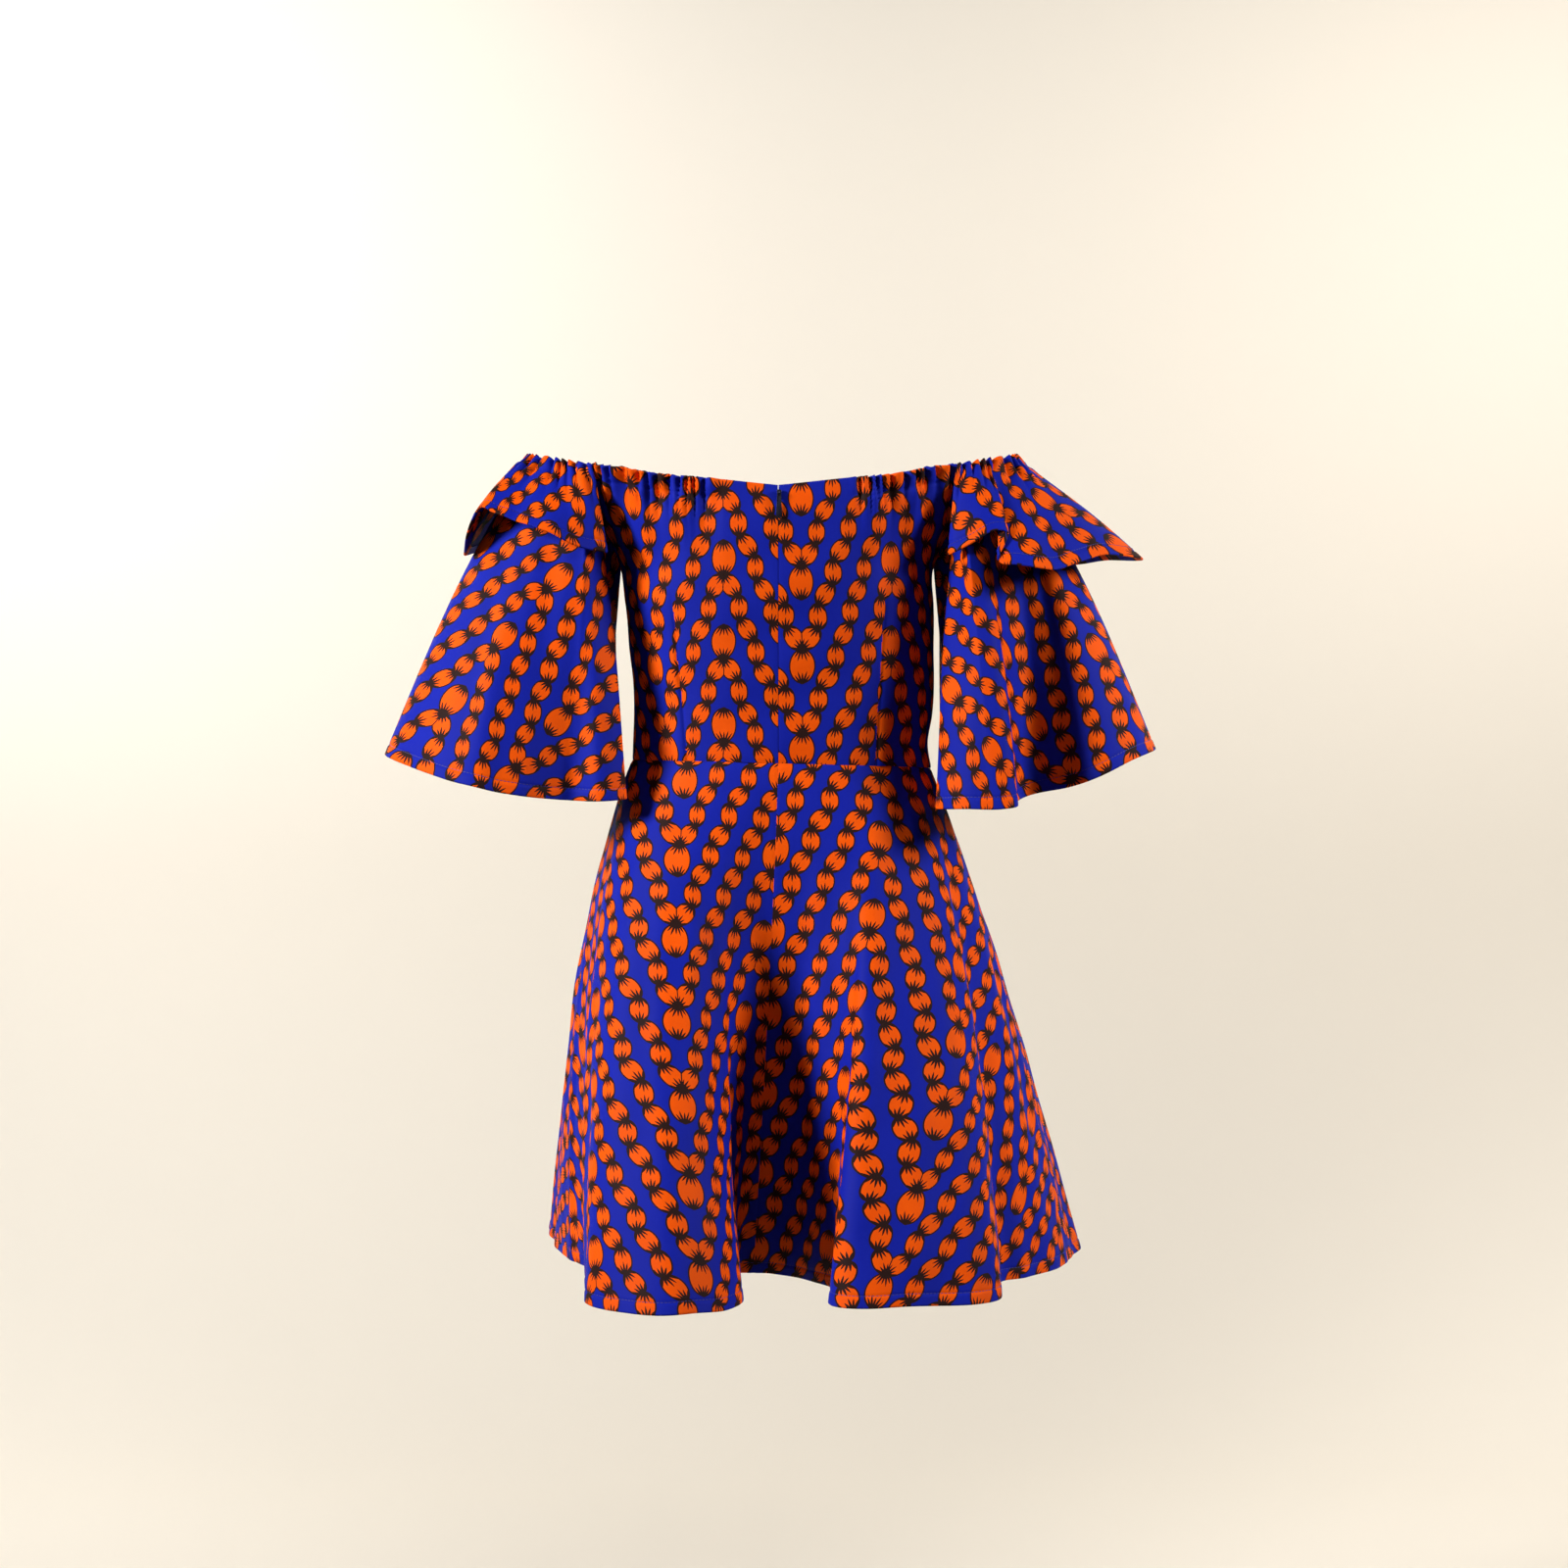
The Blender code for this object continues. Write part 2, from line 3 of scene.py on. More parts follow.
import bmesh
import bpy
import numpy as np
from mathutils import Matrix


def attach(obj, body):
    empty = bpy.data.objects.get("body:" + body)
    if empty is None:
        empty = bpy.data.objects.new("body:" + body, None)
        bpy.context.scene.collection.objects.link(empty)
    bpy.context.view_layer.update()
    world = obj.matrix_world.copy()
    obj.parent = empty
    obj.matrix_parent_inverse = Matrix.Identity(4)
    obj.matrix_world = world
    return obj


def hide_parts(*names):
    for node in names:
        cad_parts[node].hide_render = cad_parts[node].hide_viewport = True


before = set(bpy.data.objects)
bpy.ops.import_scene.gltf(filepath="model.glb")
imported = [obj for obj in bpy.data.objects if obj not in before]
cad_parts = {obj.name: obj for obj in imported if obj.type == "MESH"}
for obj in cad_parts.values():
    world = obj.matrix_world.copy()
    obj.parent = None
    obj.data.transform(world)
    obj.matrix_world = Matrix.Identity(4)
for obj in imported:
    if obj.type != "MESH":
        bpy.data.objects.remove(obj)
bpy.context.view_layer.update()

# The bodice: two back halves with a waist dart each and one front, in plain-woven
# cotton, wax printed with strings of beads on ultramarine. The top edge is turned
# in as a casing and gathered by elastic, smooth on both sides of the back zip.
# The print's sizes are in millimetres, times PRINT_SCALE on the flat cut. Strings
# fall from each upper vertex to the lower ones, and a large bead stands above
# each upper vertex and hangs below each lower one.
HALF_REPEAT = 88.0
STRING_PITCH = 75.0
STRING_DROP = 216.0
LEANING_BEAD = {"across": 7.4, "along": 10.8, "lash": 8.8, "lean": 35.0}
UPRIGHT_BEAD = {"across": 7.1, "along": 10.3, "lash": 8.6, "lean": 0.0}
LARGE_BEAD = {"across": 10.5, "along": 14.2, "lash": 9.6, "lean": 0.0}
LARGE_DROP = 15.6
LINK_STEP = (14.90, 39.40)
LEANING_AT = (6.75, 9.50)
UPRIGHT_AT = (14.20, 29.20)
OUTLINE = 1.25
FAN_BEHIND = 3.4
LASH_SPACING = 0.155
LASH_WIDTH = 0.98
LASH_UNEVEN = 0.12
SIDE_LASH = 0.66
KNOT = 0.30
KNOT_FLAT = 1.3
VERTEX_KNOT = 4.7
PRINT_SCALE = 0.96
BLUE = (0.0031, 0.0098, 0.2800, 1.0)
BLUE_PALE = (0.0069, 0.0160, 0.3600, 1.0)
ORANGE = (0.8300, 0.1020, 0.0002, 1.0)
ORANGE_DEEP = (0.7600, 0.0690, 0.0002, 1.0)
INK = (0.0200, 0.0075, 0.0065, 1.0)


def group_with(name, inputs, outputs):
    group = bpy.data.node_groups.new(name, "ShaderNodeTree")
    for label, kind in inputs:
        group.interface.new_socket(label, in_out="INPUT", socket_type=kind)
    for label, kind in outputs:
        group.interface.new_socket(label, in_out="OUTPUT", socket_type=kind)
    enter = group.nodes.new("NodeGroupInput")
    leave = group.nodes.new("NodeGroupOutput")
    return group, enter.outputs, leave.inputs


def reckon(tree, operation, *values):
    node = tree.nodes.new("ShaderNodeMath")
    node.operation = operation
    for socket, value in zip(node.inputs, values):
        if isinstance(value, (int, float)):
            socket.default_value = value
        else:
            tree.links.new(value, socket)
    return node.outputs[0]


def noise(tree, place, scale, detail):
    node = tree.nodes.new("ShaderNodeTexNoise")
    node.inputs["Scale"].default_value = scale
    node.inputs["Detail"].default_value = detail
    tree.links.new(place, node.inputs["Vector"])
    return node.outputs["Fac"]


def mixed(tree, factor, first, second):
    """A colour between two, each a fixed colour or another node's."""
    mix = tree.nodes.new("ShaderNodeMix")
    mix.data_type = "RGBA"
    tree.links.new(factor, mix.inputs["Factor"])
    for socket, value in ((mix.inputs[6], first), (mix.inputs[7], second)):
        if isinstance(value, tuple):
            socket.default_value = value
        else:
            tree.links.new(value, socket)
    return mix.outputs[2]


def raised(tree, height, strength, distance):
    """The normals of a surface whose grain stands out by a height."""
    bump = tree.nodes.new("ShaderNodeBump")
    bump.inputs["Strength"].default_value = strength
    bump.inputs["Distance"].default_value = distance
    tree.links.new(height, bump.inputs["Height"])
    return bump.outputs[0]


def new_material(name):
    made = bpy.data.materials.new(name)
    made.use_nodes = True
    return made, made.node_tree.nodes["Principled BSDF"]


def bead_group():
    """One bead of the print, from a place measured along and across it."""
    group, given, made = group_with(
        "wax print bead",
        [
            ("Across", "NodeSocketFloat"),
            ("Along", "NodeSocketFloat"),
            ("Half Width", "NodeSocketFloat"),
            ("Half Length", "NodeSocketFloat"),
            ("Lash", "NodeSocketFloat"),
        ],
        [("Cover", "NodeSocketFloat"), ("Orange", "NodeSocketFloat")],
    )

    def r(operation, *values):
        return reckon(group, operation, *values)

    wide = r("DIVIDE", given["Across"], given["Half Width"])
    long = r("DIVIDE", given["Along"], given["Half Length"])
    round_out = r("SQRT", r("ADD", r("MULTIPLY", wide, wide), r("MULTIPLY", long, long)))
    off_edge = r("MULTIPLY", r("SUBTRACT", round_out, 1.0), given["Half Width"])
    body = r("LESS_THAN", off_edge, 0.0)
    edge = r("LESS_THAN", off_edge, OUTLINE)
    from_pole = r("SUBTRACT", given["Half Length"], r("ABSOLUTE", given["Along"]))
    from_fan = r("ADD", from_pole, FAN_BEHIND)
    reach = r("MULTIPLY", from_fan, from_fan)
    reach = r("SQRT", r("ADD", reach, r("MULTIPLY", given["Across"], given["Across"])))
    turn = r("ARCTAN2", given["Across"], from_fan)
    between = r("PINGPONG", r("DIVIDE", turn, LASH_SPACING), 1.0)
    uneven = r("SINE", r("ADD", r("MULTIPLY", turn, 7.3), given["Half Width"]))
    uneven = r("MULTIPLY", uneven, LASH_UNEVEN)
    tip = r("MULTIPLY", r("COSINE", turn), 1 - SIDE_LASH)
    tip = r("ADD", r("ADD", tip, SIDE_LASH), uneven)
    tip = r("ADD", r("MULTIPLY", tip, given["Lash"]), FAN_BEHIND)
    spent = r("POWER", r("MINIMUM", r("DIVIDE", reach, tip), 1.0), 4.0)
    beside = r("MULTIPLY", r("MULTIPLY", between, LASH_SPACING), reach)
    lash = r("LESS_THAN", beside, r("MULTIPLY", r("SUBTRACT", 1.0, spent), LASH_WIDTH))
    flat = r("MULTIPLY", from_pole, KNOT_FLAT)
    flat = r("ADD", r("MULTIPLY", flat, flat), r("MULTIPLY", given["Across"], given["Across"]))
    knot = r("LESS_THAN", r("SQRT", flat), r("MULTIPLY", given["Lash"], KNOT))
    dark = r("MAXIMUM", lash, knot)
    cover = r("MAXIMUM", edge, knot)
    group.links.new(cover, made["Cover"])
    group.links.new(r("MULTIPLY", body, r("SUBTRACT", 1.0, dark)), made["Orange"])
    return group


def print_group(bead):
    """The whole print: masks of orange and of ink from the flat place in metres."""
    group, given, made = group_with(
        "wax print",
        [("Flat", "NodeSocketVector")],
        [("Orange", "NodeSocketFloat"), ("Ink", "NodeSocketFloat")],
    )

    def r(operation, *values):
        return reckon(group, operation, *values)

    def place_bead(kind, across, along):
        lean = math.radians(kind["lean"])
        turned = group.nodes.new("ShaderNodeGroup")
        turned.node_tree = bead
        cos_lean = math.cos(lean)
        sin_lean = math.sin(lean)
        level = r("SUBTRACT", r("MULTIPLY", across, cos_lean), r("MULTIPLY", along, sin_lean))
        down = r("ADD", r("MULTIPLY", across, sin_lean), r("MULTIPLY", along, cos_lean))
        group.links.new(level, turned.inputs["Across"])
        group.links.new(down, turned.inputs["Along"])
        turned.inputs["Half Width"].default_value = kind["across"]
        turned.inputs["Half Length"].default_value = kind["along"]
        turned.inputs["Lash"].default_value = kind["lash"]
        return turned.outputs["Cover"], turned.outputs["Orange"]

    parts = group.nodes.new("ShaderNodeSeparateXYZ")
    group.links.new(given["Flat"], parts.inputs[0])
    wander = noise(group, given["Flat"], 34.0, 0.0)
    sway = r("MULTIPLY", r("SUBTRACT", wander, 0.5), 2.6)
    millimetres = 1000.0 / PRINT_SCALE
    across = r("ADD", r("MULTIPLY", parts.outputs[0], millimetres), sway)
    down = r("SUBTRACT", r("MULTIPLY", parts.outputs[1], millimetres), sway)
    folded = r("PINGPONG", across, HALF_REPEAT)
    slope = STRING_DROP / HALF_REPEAT
    string = r("SUBTRACT", down, r("MULTIPLY", folded, slope))
    string = r("ROUND", r("DIVIDE", string, STRING_PITCH))
    local = r("SUBTRACT", down, r("MULTIPLY", string, STRING_PITCH))

    to_middle = r("MINIMUM", folded, r("SUBTRACT", HALF_REPEAT, folded))
    apart = r("GREATER_THAN", to_middle, 0.5)
    layers = []
    for kind, first, last in ((UPRIGHT_BEAD, UPRIGHT_AT, 4.0), (LEANING_BEAD, LEANING_AT, 5.0)):
        number = r("ROUND", r("DIVIDE", r("SUBTRACT", local, first[1]), LINK_STEP[1]))
        number = r("MINIMUM", r("MAXIMUM", number, 0.0), last)
        x = r("SUBTRACT", folded, r("ADD", r("MULTIPLY", number, LINK_STEP[0]), first[0]))
        y = r("SUBTRACT", local, r("ADD", r("MULTIPLY", number, LINK_STEP[1]), first[1]))
        cover, fill = place_bead(kind, x, y)
        layers.append((cover, r("MULTIPLY", fill, apart)))
    from_lower = r("SUBTRACT", folded, HALF_REPEAT)
    ends = ((folded, 0.0, -LARGE_DROP), (from_lower, STRING_DROP, LARGE_DROP))
    for beside, drop, hangs in ends:
        large = r("SUBTRACT", down, drop + hangs - STRING_PITCH / 2)
        large = r("SUBTRACT", r("FLOORED_MODULO", large, STRING_PITCH), STRING_PITCH / 2)
        layers.append(place_bead(LARGE_BEAD, beside, large))
        vertex = r("SUBTRACT", down, drop - STRING_PITCH / 2)
        vertex = r("SUBTRACT", r("FLOORED_MODULO", vertex, STRING_PITCH), STRING_PITCH / 2)
        away = r("ADD", r("MULTIPLY", vertex, vertex), r("MULTIPLY", beside, beside))
        layers.append((r("LESS_THAN", away, VERTEX_KNOT * VERTEX_KNOT), 0.0))

    orange = 0.0
    covered = 0.0
    for cover, fill in layers:
        clear = r("SUBTRACT", 1.0, cover)
        orange = r("ADD", r("MULTIPLY", orange, clear), fill)
        covered = r("MAXIMUM", covered, cover)
    group.links.new(orange, made["Orange"])
    group.links.new(r("SUBTRACT", covered, orange), made["Ink"])
    return group


def weave_group():
    """Height and tone of a plain weave with slightly uneven threads."""
    group, given, made = group_with(
        "cotton weave",
        [("Flat", "NodeSocketVector"), ("Threads", "NodeSocketFloat")],
        [("Height", "NodeSocketFloat"), ("Tone", "NodeSocketFloat")],
    )

    def r(operation, *values):
        return reckon(group, operation, *values)

    parts = group.nodes.new("ShaderNodeSeparateXYZ")
    group.links.new(given["Flat"], parts.inputs[0])
    warp = r("SINE", r("MULTIPLY", parts.outputs[0], given["Threads"]))
    weft = r("SINE", r("MULTIPLY", parts.outputs[1], given["Threads"]))
    plain = r("MULTIPLY", r("MULTIPLY", warp, weft), 0.5)
    slub = noise(group, given["Flat"], 420.0, 3.0)
    cloud = noise(group, given["Flat"], 23.0, 4.0)
    group.links.new(r("ADD", plain, slub), made["Height"])
    tone = r("ADD", r("MULTIPLY", slub, 0.35), cloud)
    group.links.new(r("SUBTRACT", tone, 0.175), made["Tone"])
    return group


def wax_cotton():
    """Printed cotton: beads, ink and ground over the weave, on the cut's own map."""
    made, shader = new_material("wax printed cotton")
    tree = made.node_tree
    flat = tree.nodes.new("ShaderNodeUVMap")
    flat.uv_map = "cut"
    beads = tree.nodes.new("ShaderNodeGroup")
    beads.node_tree = print_group(bead_group())
    tree.links.new(flat.outputs[0], beads.inputs["Flat"])
    weave = tree.nodes.new("ShaderNodeGroup")
    weave.node_tree = weave_group()
    weave.inputs["Threads"].default_value = 9400.0
    tree.links.new(flat.outputs[0], weave.inputs["Flat"])
    ground = mixed(tree, weave.outputs["Tone"], BLUE, BLUE_PALE)
    fruit = mixed(tree, weave.outputs["Tone"], ORANGE_DEEP, ORANGE)
    colour = mixed(tree, beads.outputs["Orange"], ground, fruit)
    colour = mixed(tree, beads.outputs["Ink"], colour, INK)
    tree.links.new(colour, shader.inputs["Base Color"])
    rough = reckon(tree, "MULTIPLY_ADD", weave.outputs["Tone"], 0.16, 0.56)
    tree.links.new(rough, shader.inputs["Roughness"])
    bump = raised(tree, weave.outputs["Height"], 0.22, 0.00022)
    tree.links.new(bump, shader.inputs["Normal"])
    shader.inputs["Specular IOR Level"].default_value = 0.07
    return made


COTTON = wax_cotton()

WAIST_HEIGHT = -0.2635
WAIST_TILT = 0.026
RAGLAN_TOP = 50.0
UNDERARM = 90.0
UNDERARM_HEIGHT = -0.088
SQUARENESS = 0.9
CLOTH = 0.0008
CASING = 0.015
HEM_TURNING = 0.009
GATHER_PITCH = 0.0098
GATHER_DEPTH = 0.0048
GATHER_FADE = 0.011
FOLD_FADE = 0.030
SMOOTH_LEFT = 0.046
SMOOTH_RIGHT = 0.060
BACK_COLUMNS = 145
BODICE_ROWS = 110
WIDEST_CELL = 0.006
SHARP_TURN = 82.0
CASING_GAP = 0.0014
RIPPLE = 0.0007
# how deep and how far to each side each line of sewing pulls the cloth in
CASING_PULL = (0.0008, 0.0026)
DART_PULL = (0.0013, 0.0013)
DART_PUFF = (0.0012, 0.0045)
DART_PUFF_AT = 0.006
PANEL_PULL = (0.0004, 0.0012)
WAIST_PULL = (0.0003, 0.0018)
# height, half width on the left, half width on the right, back depth, front depth
TORSO = (
    (-0.2700, 0.1310, 0.1370, 0.0890, 0.0980),
    (-0.2460, 0.1300, 0.1335, 0.0905, 0.1010),
    (-0.2200, 0.1290, 0.1375, 0.0930, 0.1060),
    (-0.1900, 0.1300, 0.1390, 0.0965, 0.1140),
    (-0.1600, 0.1330, 0.1390, 0.1010, 0.1230),
    (-0.1200, 0.1370, 0.1385, 0.1070, 0.1300),
    (-0.0880, 0.1410, 0.1390, 0.1105, 0.1280),
    (-0.0440, 0.1680, 0.1650, 0.1110, 0.1180),
    (0.0120, 0.2220, 0.2110, 0.1060, 0.1060),
)
# degrees from centre back, height
NECKLINE = (
    (0.0, -0.0254),
    (16.0, -0.0190),
    (31.0, -0.0130),
    (41.0, -0.0065),
    (50.0, -0.0030),
    (70.0, 0.0060),
    (90.0, 0.0115),
    (112.0, 0.0030),
    (135.0, -0.0120),
    (158.0, -0.0340),
    (180.0, -0.0420),
)
# The waist darts: side, where the top and the foot lie across, height of the
# top, cloth taken in at the foot.
DARTS = (
    (1, 0.0930, 0.0790, -0.1130, 0.034),
    (-1, 0.0940, 0.0850, -0.1060, 0.018),
)


def through(table, at):
    """The smooth curve through a table whose first column is its key."""
    rows = np.array(table)
    keys = rows[:, 0]
    values = rows[:, 1:]
    slopes = np.gradient(values, keys, axis=0)
    if np.allclose(values[0], values[-1]):
        round_trip = keys[1] - keys[0] + keys[-1] - keys[-2]
        slopes[0] = (values[1] - values[-2]) / round_trip
        slopes[-1] = slopes[0]
    at = np.clip(np.asarray(at, float), keys[0], keys[-1])
    low = np.clip(np.searchsorted(keys, at, side="right") - 1, 0, len(keys) - 2)
    span = (keys[low + 1] - keys[low])[..., None]
    part = (at - keys[low])[..., None] / span
    start = values[low] * (2 * part**3 - 3 * part**2 + 1)
    end = values[low + 1] * (3 * part**2 - 2 * part**3)
    leave = slopes[low] * span * (part**3 - 2 * part**2 + part)
    arrive = slopes[low + 1] * span * (part**3 - part**2)
    return start + end + leave + arrive


def signed_power(value, power):
    return np.sign(value) * np.abs(value) ** power


def torso(degrees, height):
    """Points of the body's loop at these angles from centre back and heights."""
    left, right, back, front = np.moveaxis(through(TORSO, height), -1, 0)
    sine = signed_power(np.sin(np.radians(degrees)), SQUARENESS)
    cosine = signed_power(np.cos(np.radians(degrees)), SQUARENESS)
    side = np.where(sine > 0, left, right)
    depth = np.where(cosine > 0, back, front)
    return np.stack([side * sine, depth * cosine, height + 0 * sine], -1)


def from_back(degrees):
    turned = np.mod(np.asarray(degrees, float), 360)
    return np.minimum(turned, 360 - turned)


def neckline_height(degrees):
    return through(NECKLINE, from_back(degrees))[..., 0]


def bodice_top(degrees):
    """The neckline, or the raglan seam that dips from it to the underarm."""
    away = from_back(degrees)
    toward = np.abs(away - UNDERARM) / (UNDERARM - RAGLAN_TOP)
    corner = np.where(away < UNDERARM, RAGLAN_TOP, 180 - RAGLAN_TOP)
    seam = UNDERARM_HEIGHT + (neckline_height(corner) - UNDERARM_HEIGHT) * toward
    return np.where(toward >= 1, neckline_height(degrees), seam)


def smooth_step(value, low, high):
    part = np.clip((value - low) / (high - low), 0, 1)
    return part * part * (3 - 2 * part)


def dip(away, pull):
    """A soft trough or ridge in the cloth, from the distance to its line."""
    deep, spread = pull
    return deep * np.exp(-((away / spread) ** 2))


def outward_normals(grid, side=1):
    """Unit normals of a grid whose rows run down and columns run round."""
    normals = np.cross(np.gradient(grid, axis=1), np.gradient(grid, axis=0)) * side
    return normals / np.maximum(np.linalg.norm(normals, axis=-1, keepdims=True), 1e-9)


def gathers(along, below):
    """How far gathered cloth stands out, from its place along the elastic."""
    phase = along / GATHER_PITCH
    phase = phase + 0.34 * np.sin(along * 71) + 0.26 * np.sin(along * 151 + 1)
    crimp = 2 * np.abs(np.sin(np.pi * phase)) ** 0.7 - 1.25
    wide = np.cos(np.pi * phase * 0.5 + 1.7 * np.sin(along * 43))
    casing = 0.75 + 0.25 * np.cos(np.pi * np.clip(below / CASING, 0, 2))
    fading = np.exp(-np.maximum(below - CASING, 0) / GATHER_FADE)
    long_fold = np.exp(-np.maximum(below - CASING, 0) / FOLD_FADE)
    long_fold = long_fold * smooth_step(below, 0.004, 0.022)
    return GATHER_DEPTH * (crimp * casing * fading + 0.9 * wide * long_fold)


def turned_edge(grid, normals, at_row, deep, layer_gap):
    """Rows that fold one edge to the inside and run back along the cloth."""
    step = 1 if at_row == 0 else -1
    edge = grid[at_row]
    inward = -normals[at_row]
    back = grid[at_row + 4 * step] - edge
    back = back / np.linalg.norm(back, axis=-1, keepdims=True)
    rows = []
    for aside, along in ((0.15, -0.5), (0.55, -0.75), (0.9, -0.35)):
        rows.append(edge + inward * layer_gap * aside + back * along * layer_gap)
    number = at_row
    depth = 0.0
    while depth < deep:
        number += step
        depth = np.linalg.norm(grid[number] - edge, axis=-1).mean()
        rows.append(grid[number] - normals[number] * layer_gap)
    return rows if at_row else rows[::-1]


def sewn_cloth(name, grid, cut):
    """One sheet through a grid of points, mapped by its flat cut and thickened."""
    rows, columns = grid.shape[:2]
    mesh = bpy.data.meshes.new(name)
    row, column = np.meshgrid(np.arange(rows - 1), np.arange(columns - 1), indexing="ij")
    after = column + 1
    corners = [
        row * columns + column,
        row * columns + after,
        (row + 1) * columns + after,
        (row + 1) * columns + column,
    ]
    faces = np.stack(corners, -1).reshape(-1, 4)
    mesh.from_pydata(grid.reshape(-1, 3).tolist(), [], faces.tolist())
    layer = mesh.uv_layers.new(name="cut")
    places = np.stack(
        [cut[row, column], cut[row, after], cut[row + 1, after], cut[row + 1, column]], 2
    )
    # A cell across a dart keeps the print of its first corner.
    torn = np.ptp(places[..., 0], axis=2) > WIDEST_CELL
    step = np.median(np.diff(cut[..., 0], axis=1))
    drop = np.median(np.diff(cut[..., 1], axis=0))
    for corner, move in ((1, (step, 0)), (2, (step, drop)), (3, (0, drop))):
        places[torn, corner] = places[torn, 0] + np.array(move)
    layer.uv.foreach_set("vector", places.astype(np.float32).ravel())
    made = bpy.data.objects.new(name, mesh)
    bpy.context.scene.collection.objects.link(made)
    mesh.materials.append(COTTON)
    wall = made.modifiers.new("Wall", "SOLIDIFY")
    wall.thickness = CLOTH
    wall.offset = 0.0
    bpy.ops.object.select_all(action="DESELECT")
    made.select_set(True)
    bpy.context.view_layer.objects.active = made
    bpy.ops.object.modifier_apply(modifier="Wall")
    bpy.ops.object.shade_smooth_by_angle(angle=math.radians(SHARP_TURN))
    return made


def lighter(colour, times):
    return tuple(min(1, part * times) for part in colour[:3]) + (1.0,)


def thread_material(name, colour):
    made, shader = new_material(name)
    tree = made.node_tree
    place = tree.nodes.new("ShaderNodeTexCoord")
    twist = tree.nodes.new("ShaderNodeTexWave")
    twist.inputs["Scale"].default_value = 900.0
    twist.inputs["Distortion"].default_value = 2.0
    tree.links.new(place.outputs["Object"], twist.inputs["Vector"])
    tint = mixed(tree, twist.outputs["Fac"], colour, lighter(colour, 2.2))
    tree.links.new(tint, shader.inputs["Base Color"])
    shader.inputs["Roughness"].default_value = 0.55
    return made


THREAD = thread_material("blue sewing thread", (0.010, 0.009, 0.110, 1.0))
STITCH = 0.0026
STITCH_GAP = 0.0007
THREAD_WIDE = 0.00045


def stitch_row(name, path, normals):
    """A row of lockstitches lying on the cloth along a line of points."""
    steps = np.linalg.norm(np.diff(path, axis=0), axis=1)
    along = np.concatenate([[0], np.cumsum(steps)])
    count = int(along[-1] / (STITCH + STITCH_GAP))
    starts = np.arange(count) * (STITCH + STITCH_GAP) + STITCH_GAP
    shape = np.array(
        [(-0.5, -1, 0), (-0.5, 1, 0), (-0.25, -1, 1), (-0.25, 1, 1)]
        + [(0.25, -1, 1), (0.25, 1, 1), (0.5, -1, 0), (0.5, 1, 0)]
    )
    quads = [(0, 1, 3, 2), (2, 3, 5, 4), (4, 5, 7, 6), (0, 2, 4, 6), (7, 5, 3, 1), (6, 7, 1, 0)]
    points = []
    faces = []
    for number, start in enumerate(starts):
        ends = np.array([start, start + STITCH])
        a, b = np.stack([np.interp(ends, along, path[:, k]) for k in range(3)], -1)
        up = np.array([np.interp(start + STITCH / 2, along, normals[:, k]) for k in range(3)])
        up = up / np.linalg.norm(up)
        run = b - a
        across = np.cross(up, run / np.linalg.norm(run)) * THREAD_WIDE / 2
        middle = (a + b) / 2 + up * CLOTH * 0.45
        for x, y, z in shape:
            points.append(middle + run * x + across * y + up * THREAD_WIDE * 0.7 * z)
        faces += [tuple(8 * number + k for k in quad) for quad in quads]
    mesh = bpy.data.meshes.new(name)
    mesh.from_pydata([tuple(p) for p in points], [], faces)
    made = bpy.data.objects.new(name, mesh)
    bpy.context.scene.collection.objects.link(made)
    mesh.materials.append(THREAD)
    fix = bmesh.new()
    fix.from_mesh(mesh)
    bmesh.ops.recalc_face_normals(fix, faces=fix.faces)
    fix.to_mesh(mesh)
    fix.free()
    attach(made, "dress")
    return made


def round_length(degrees, height):
    """Length round the body's loop from centre back to each place."""
    parts = np.linspace(0, 1, 50).reshape((50,) + (1,) * np.ndim(degrees))
    points = torso(parts * degrees, height + 0 * parts * degrees)
    return np.linalg.norm(np.diff(points, axis=0), axis=-1).sum(0)


def looseness(grid):
    """0 where the casing lies smooth beside the zip, 1 where it is gathered."""
    x = grid[..., 0]
    left = smooth_step(x, SMOOTH_LEFT, SMOOTH_LEFT + 0.012)
    right = smooth_step(-x, SMOOTH_RIGHT, SMOOTH_RIGHT + 0.010)
    return np.where(grid[..., 1] < 0, 1.0, np.maximum(left, right))


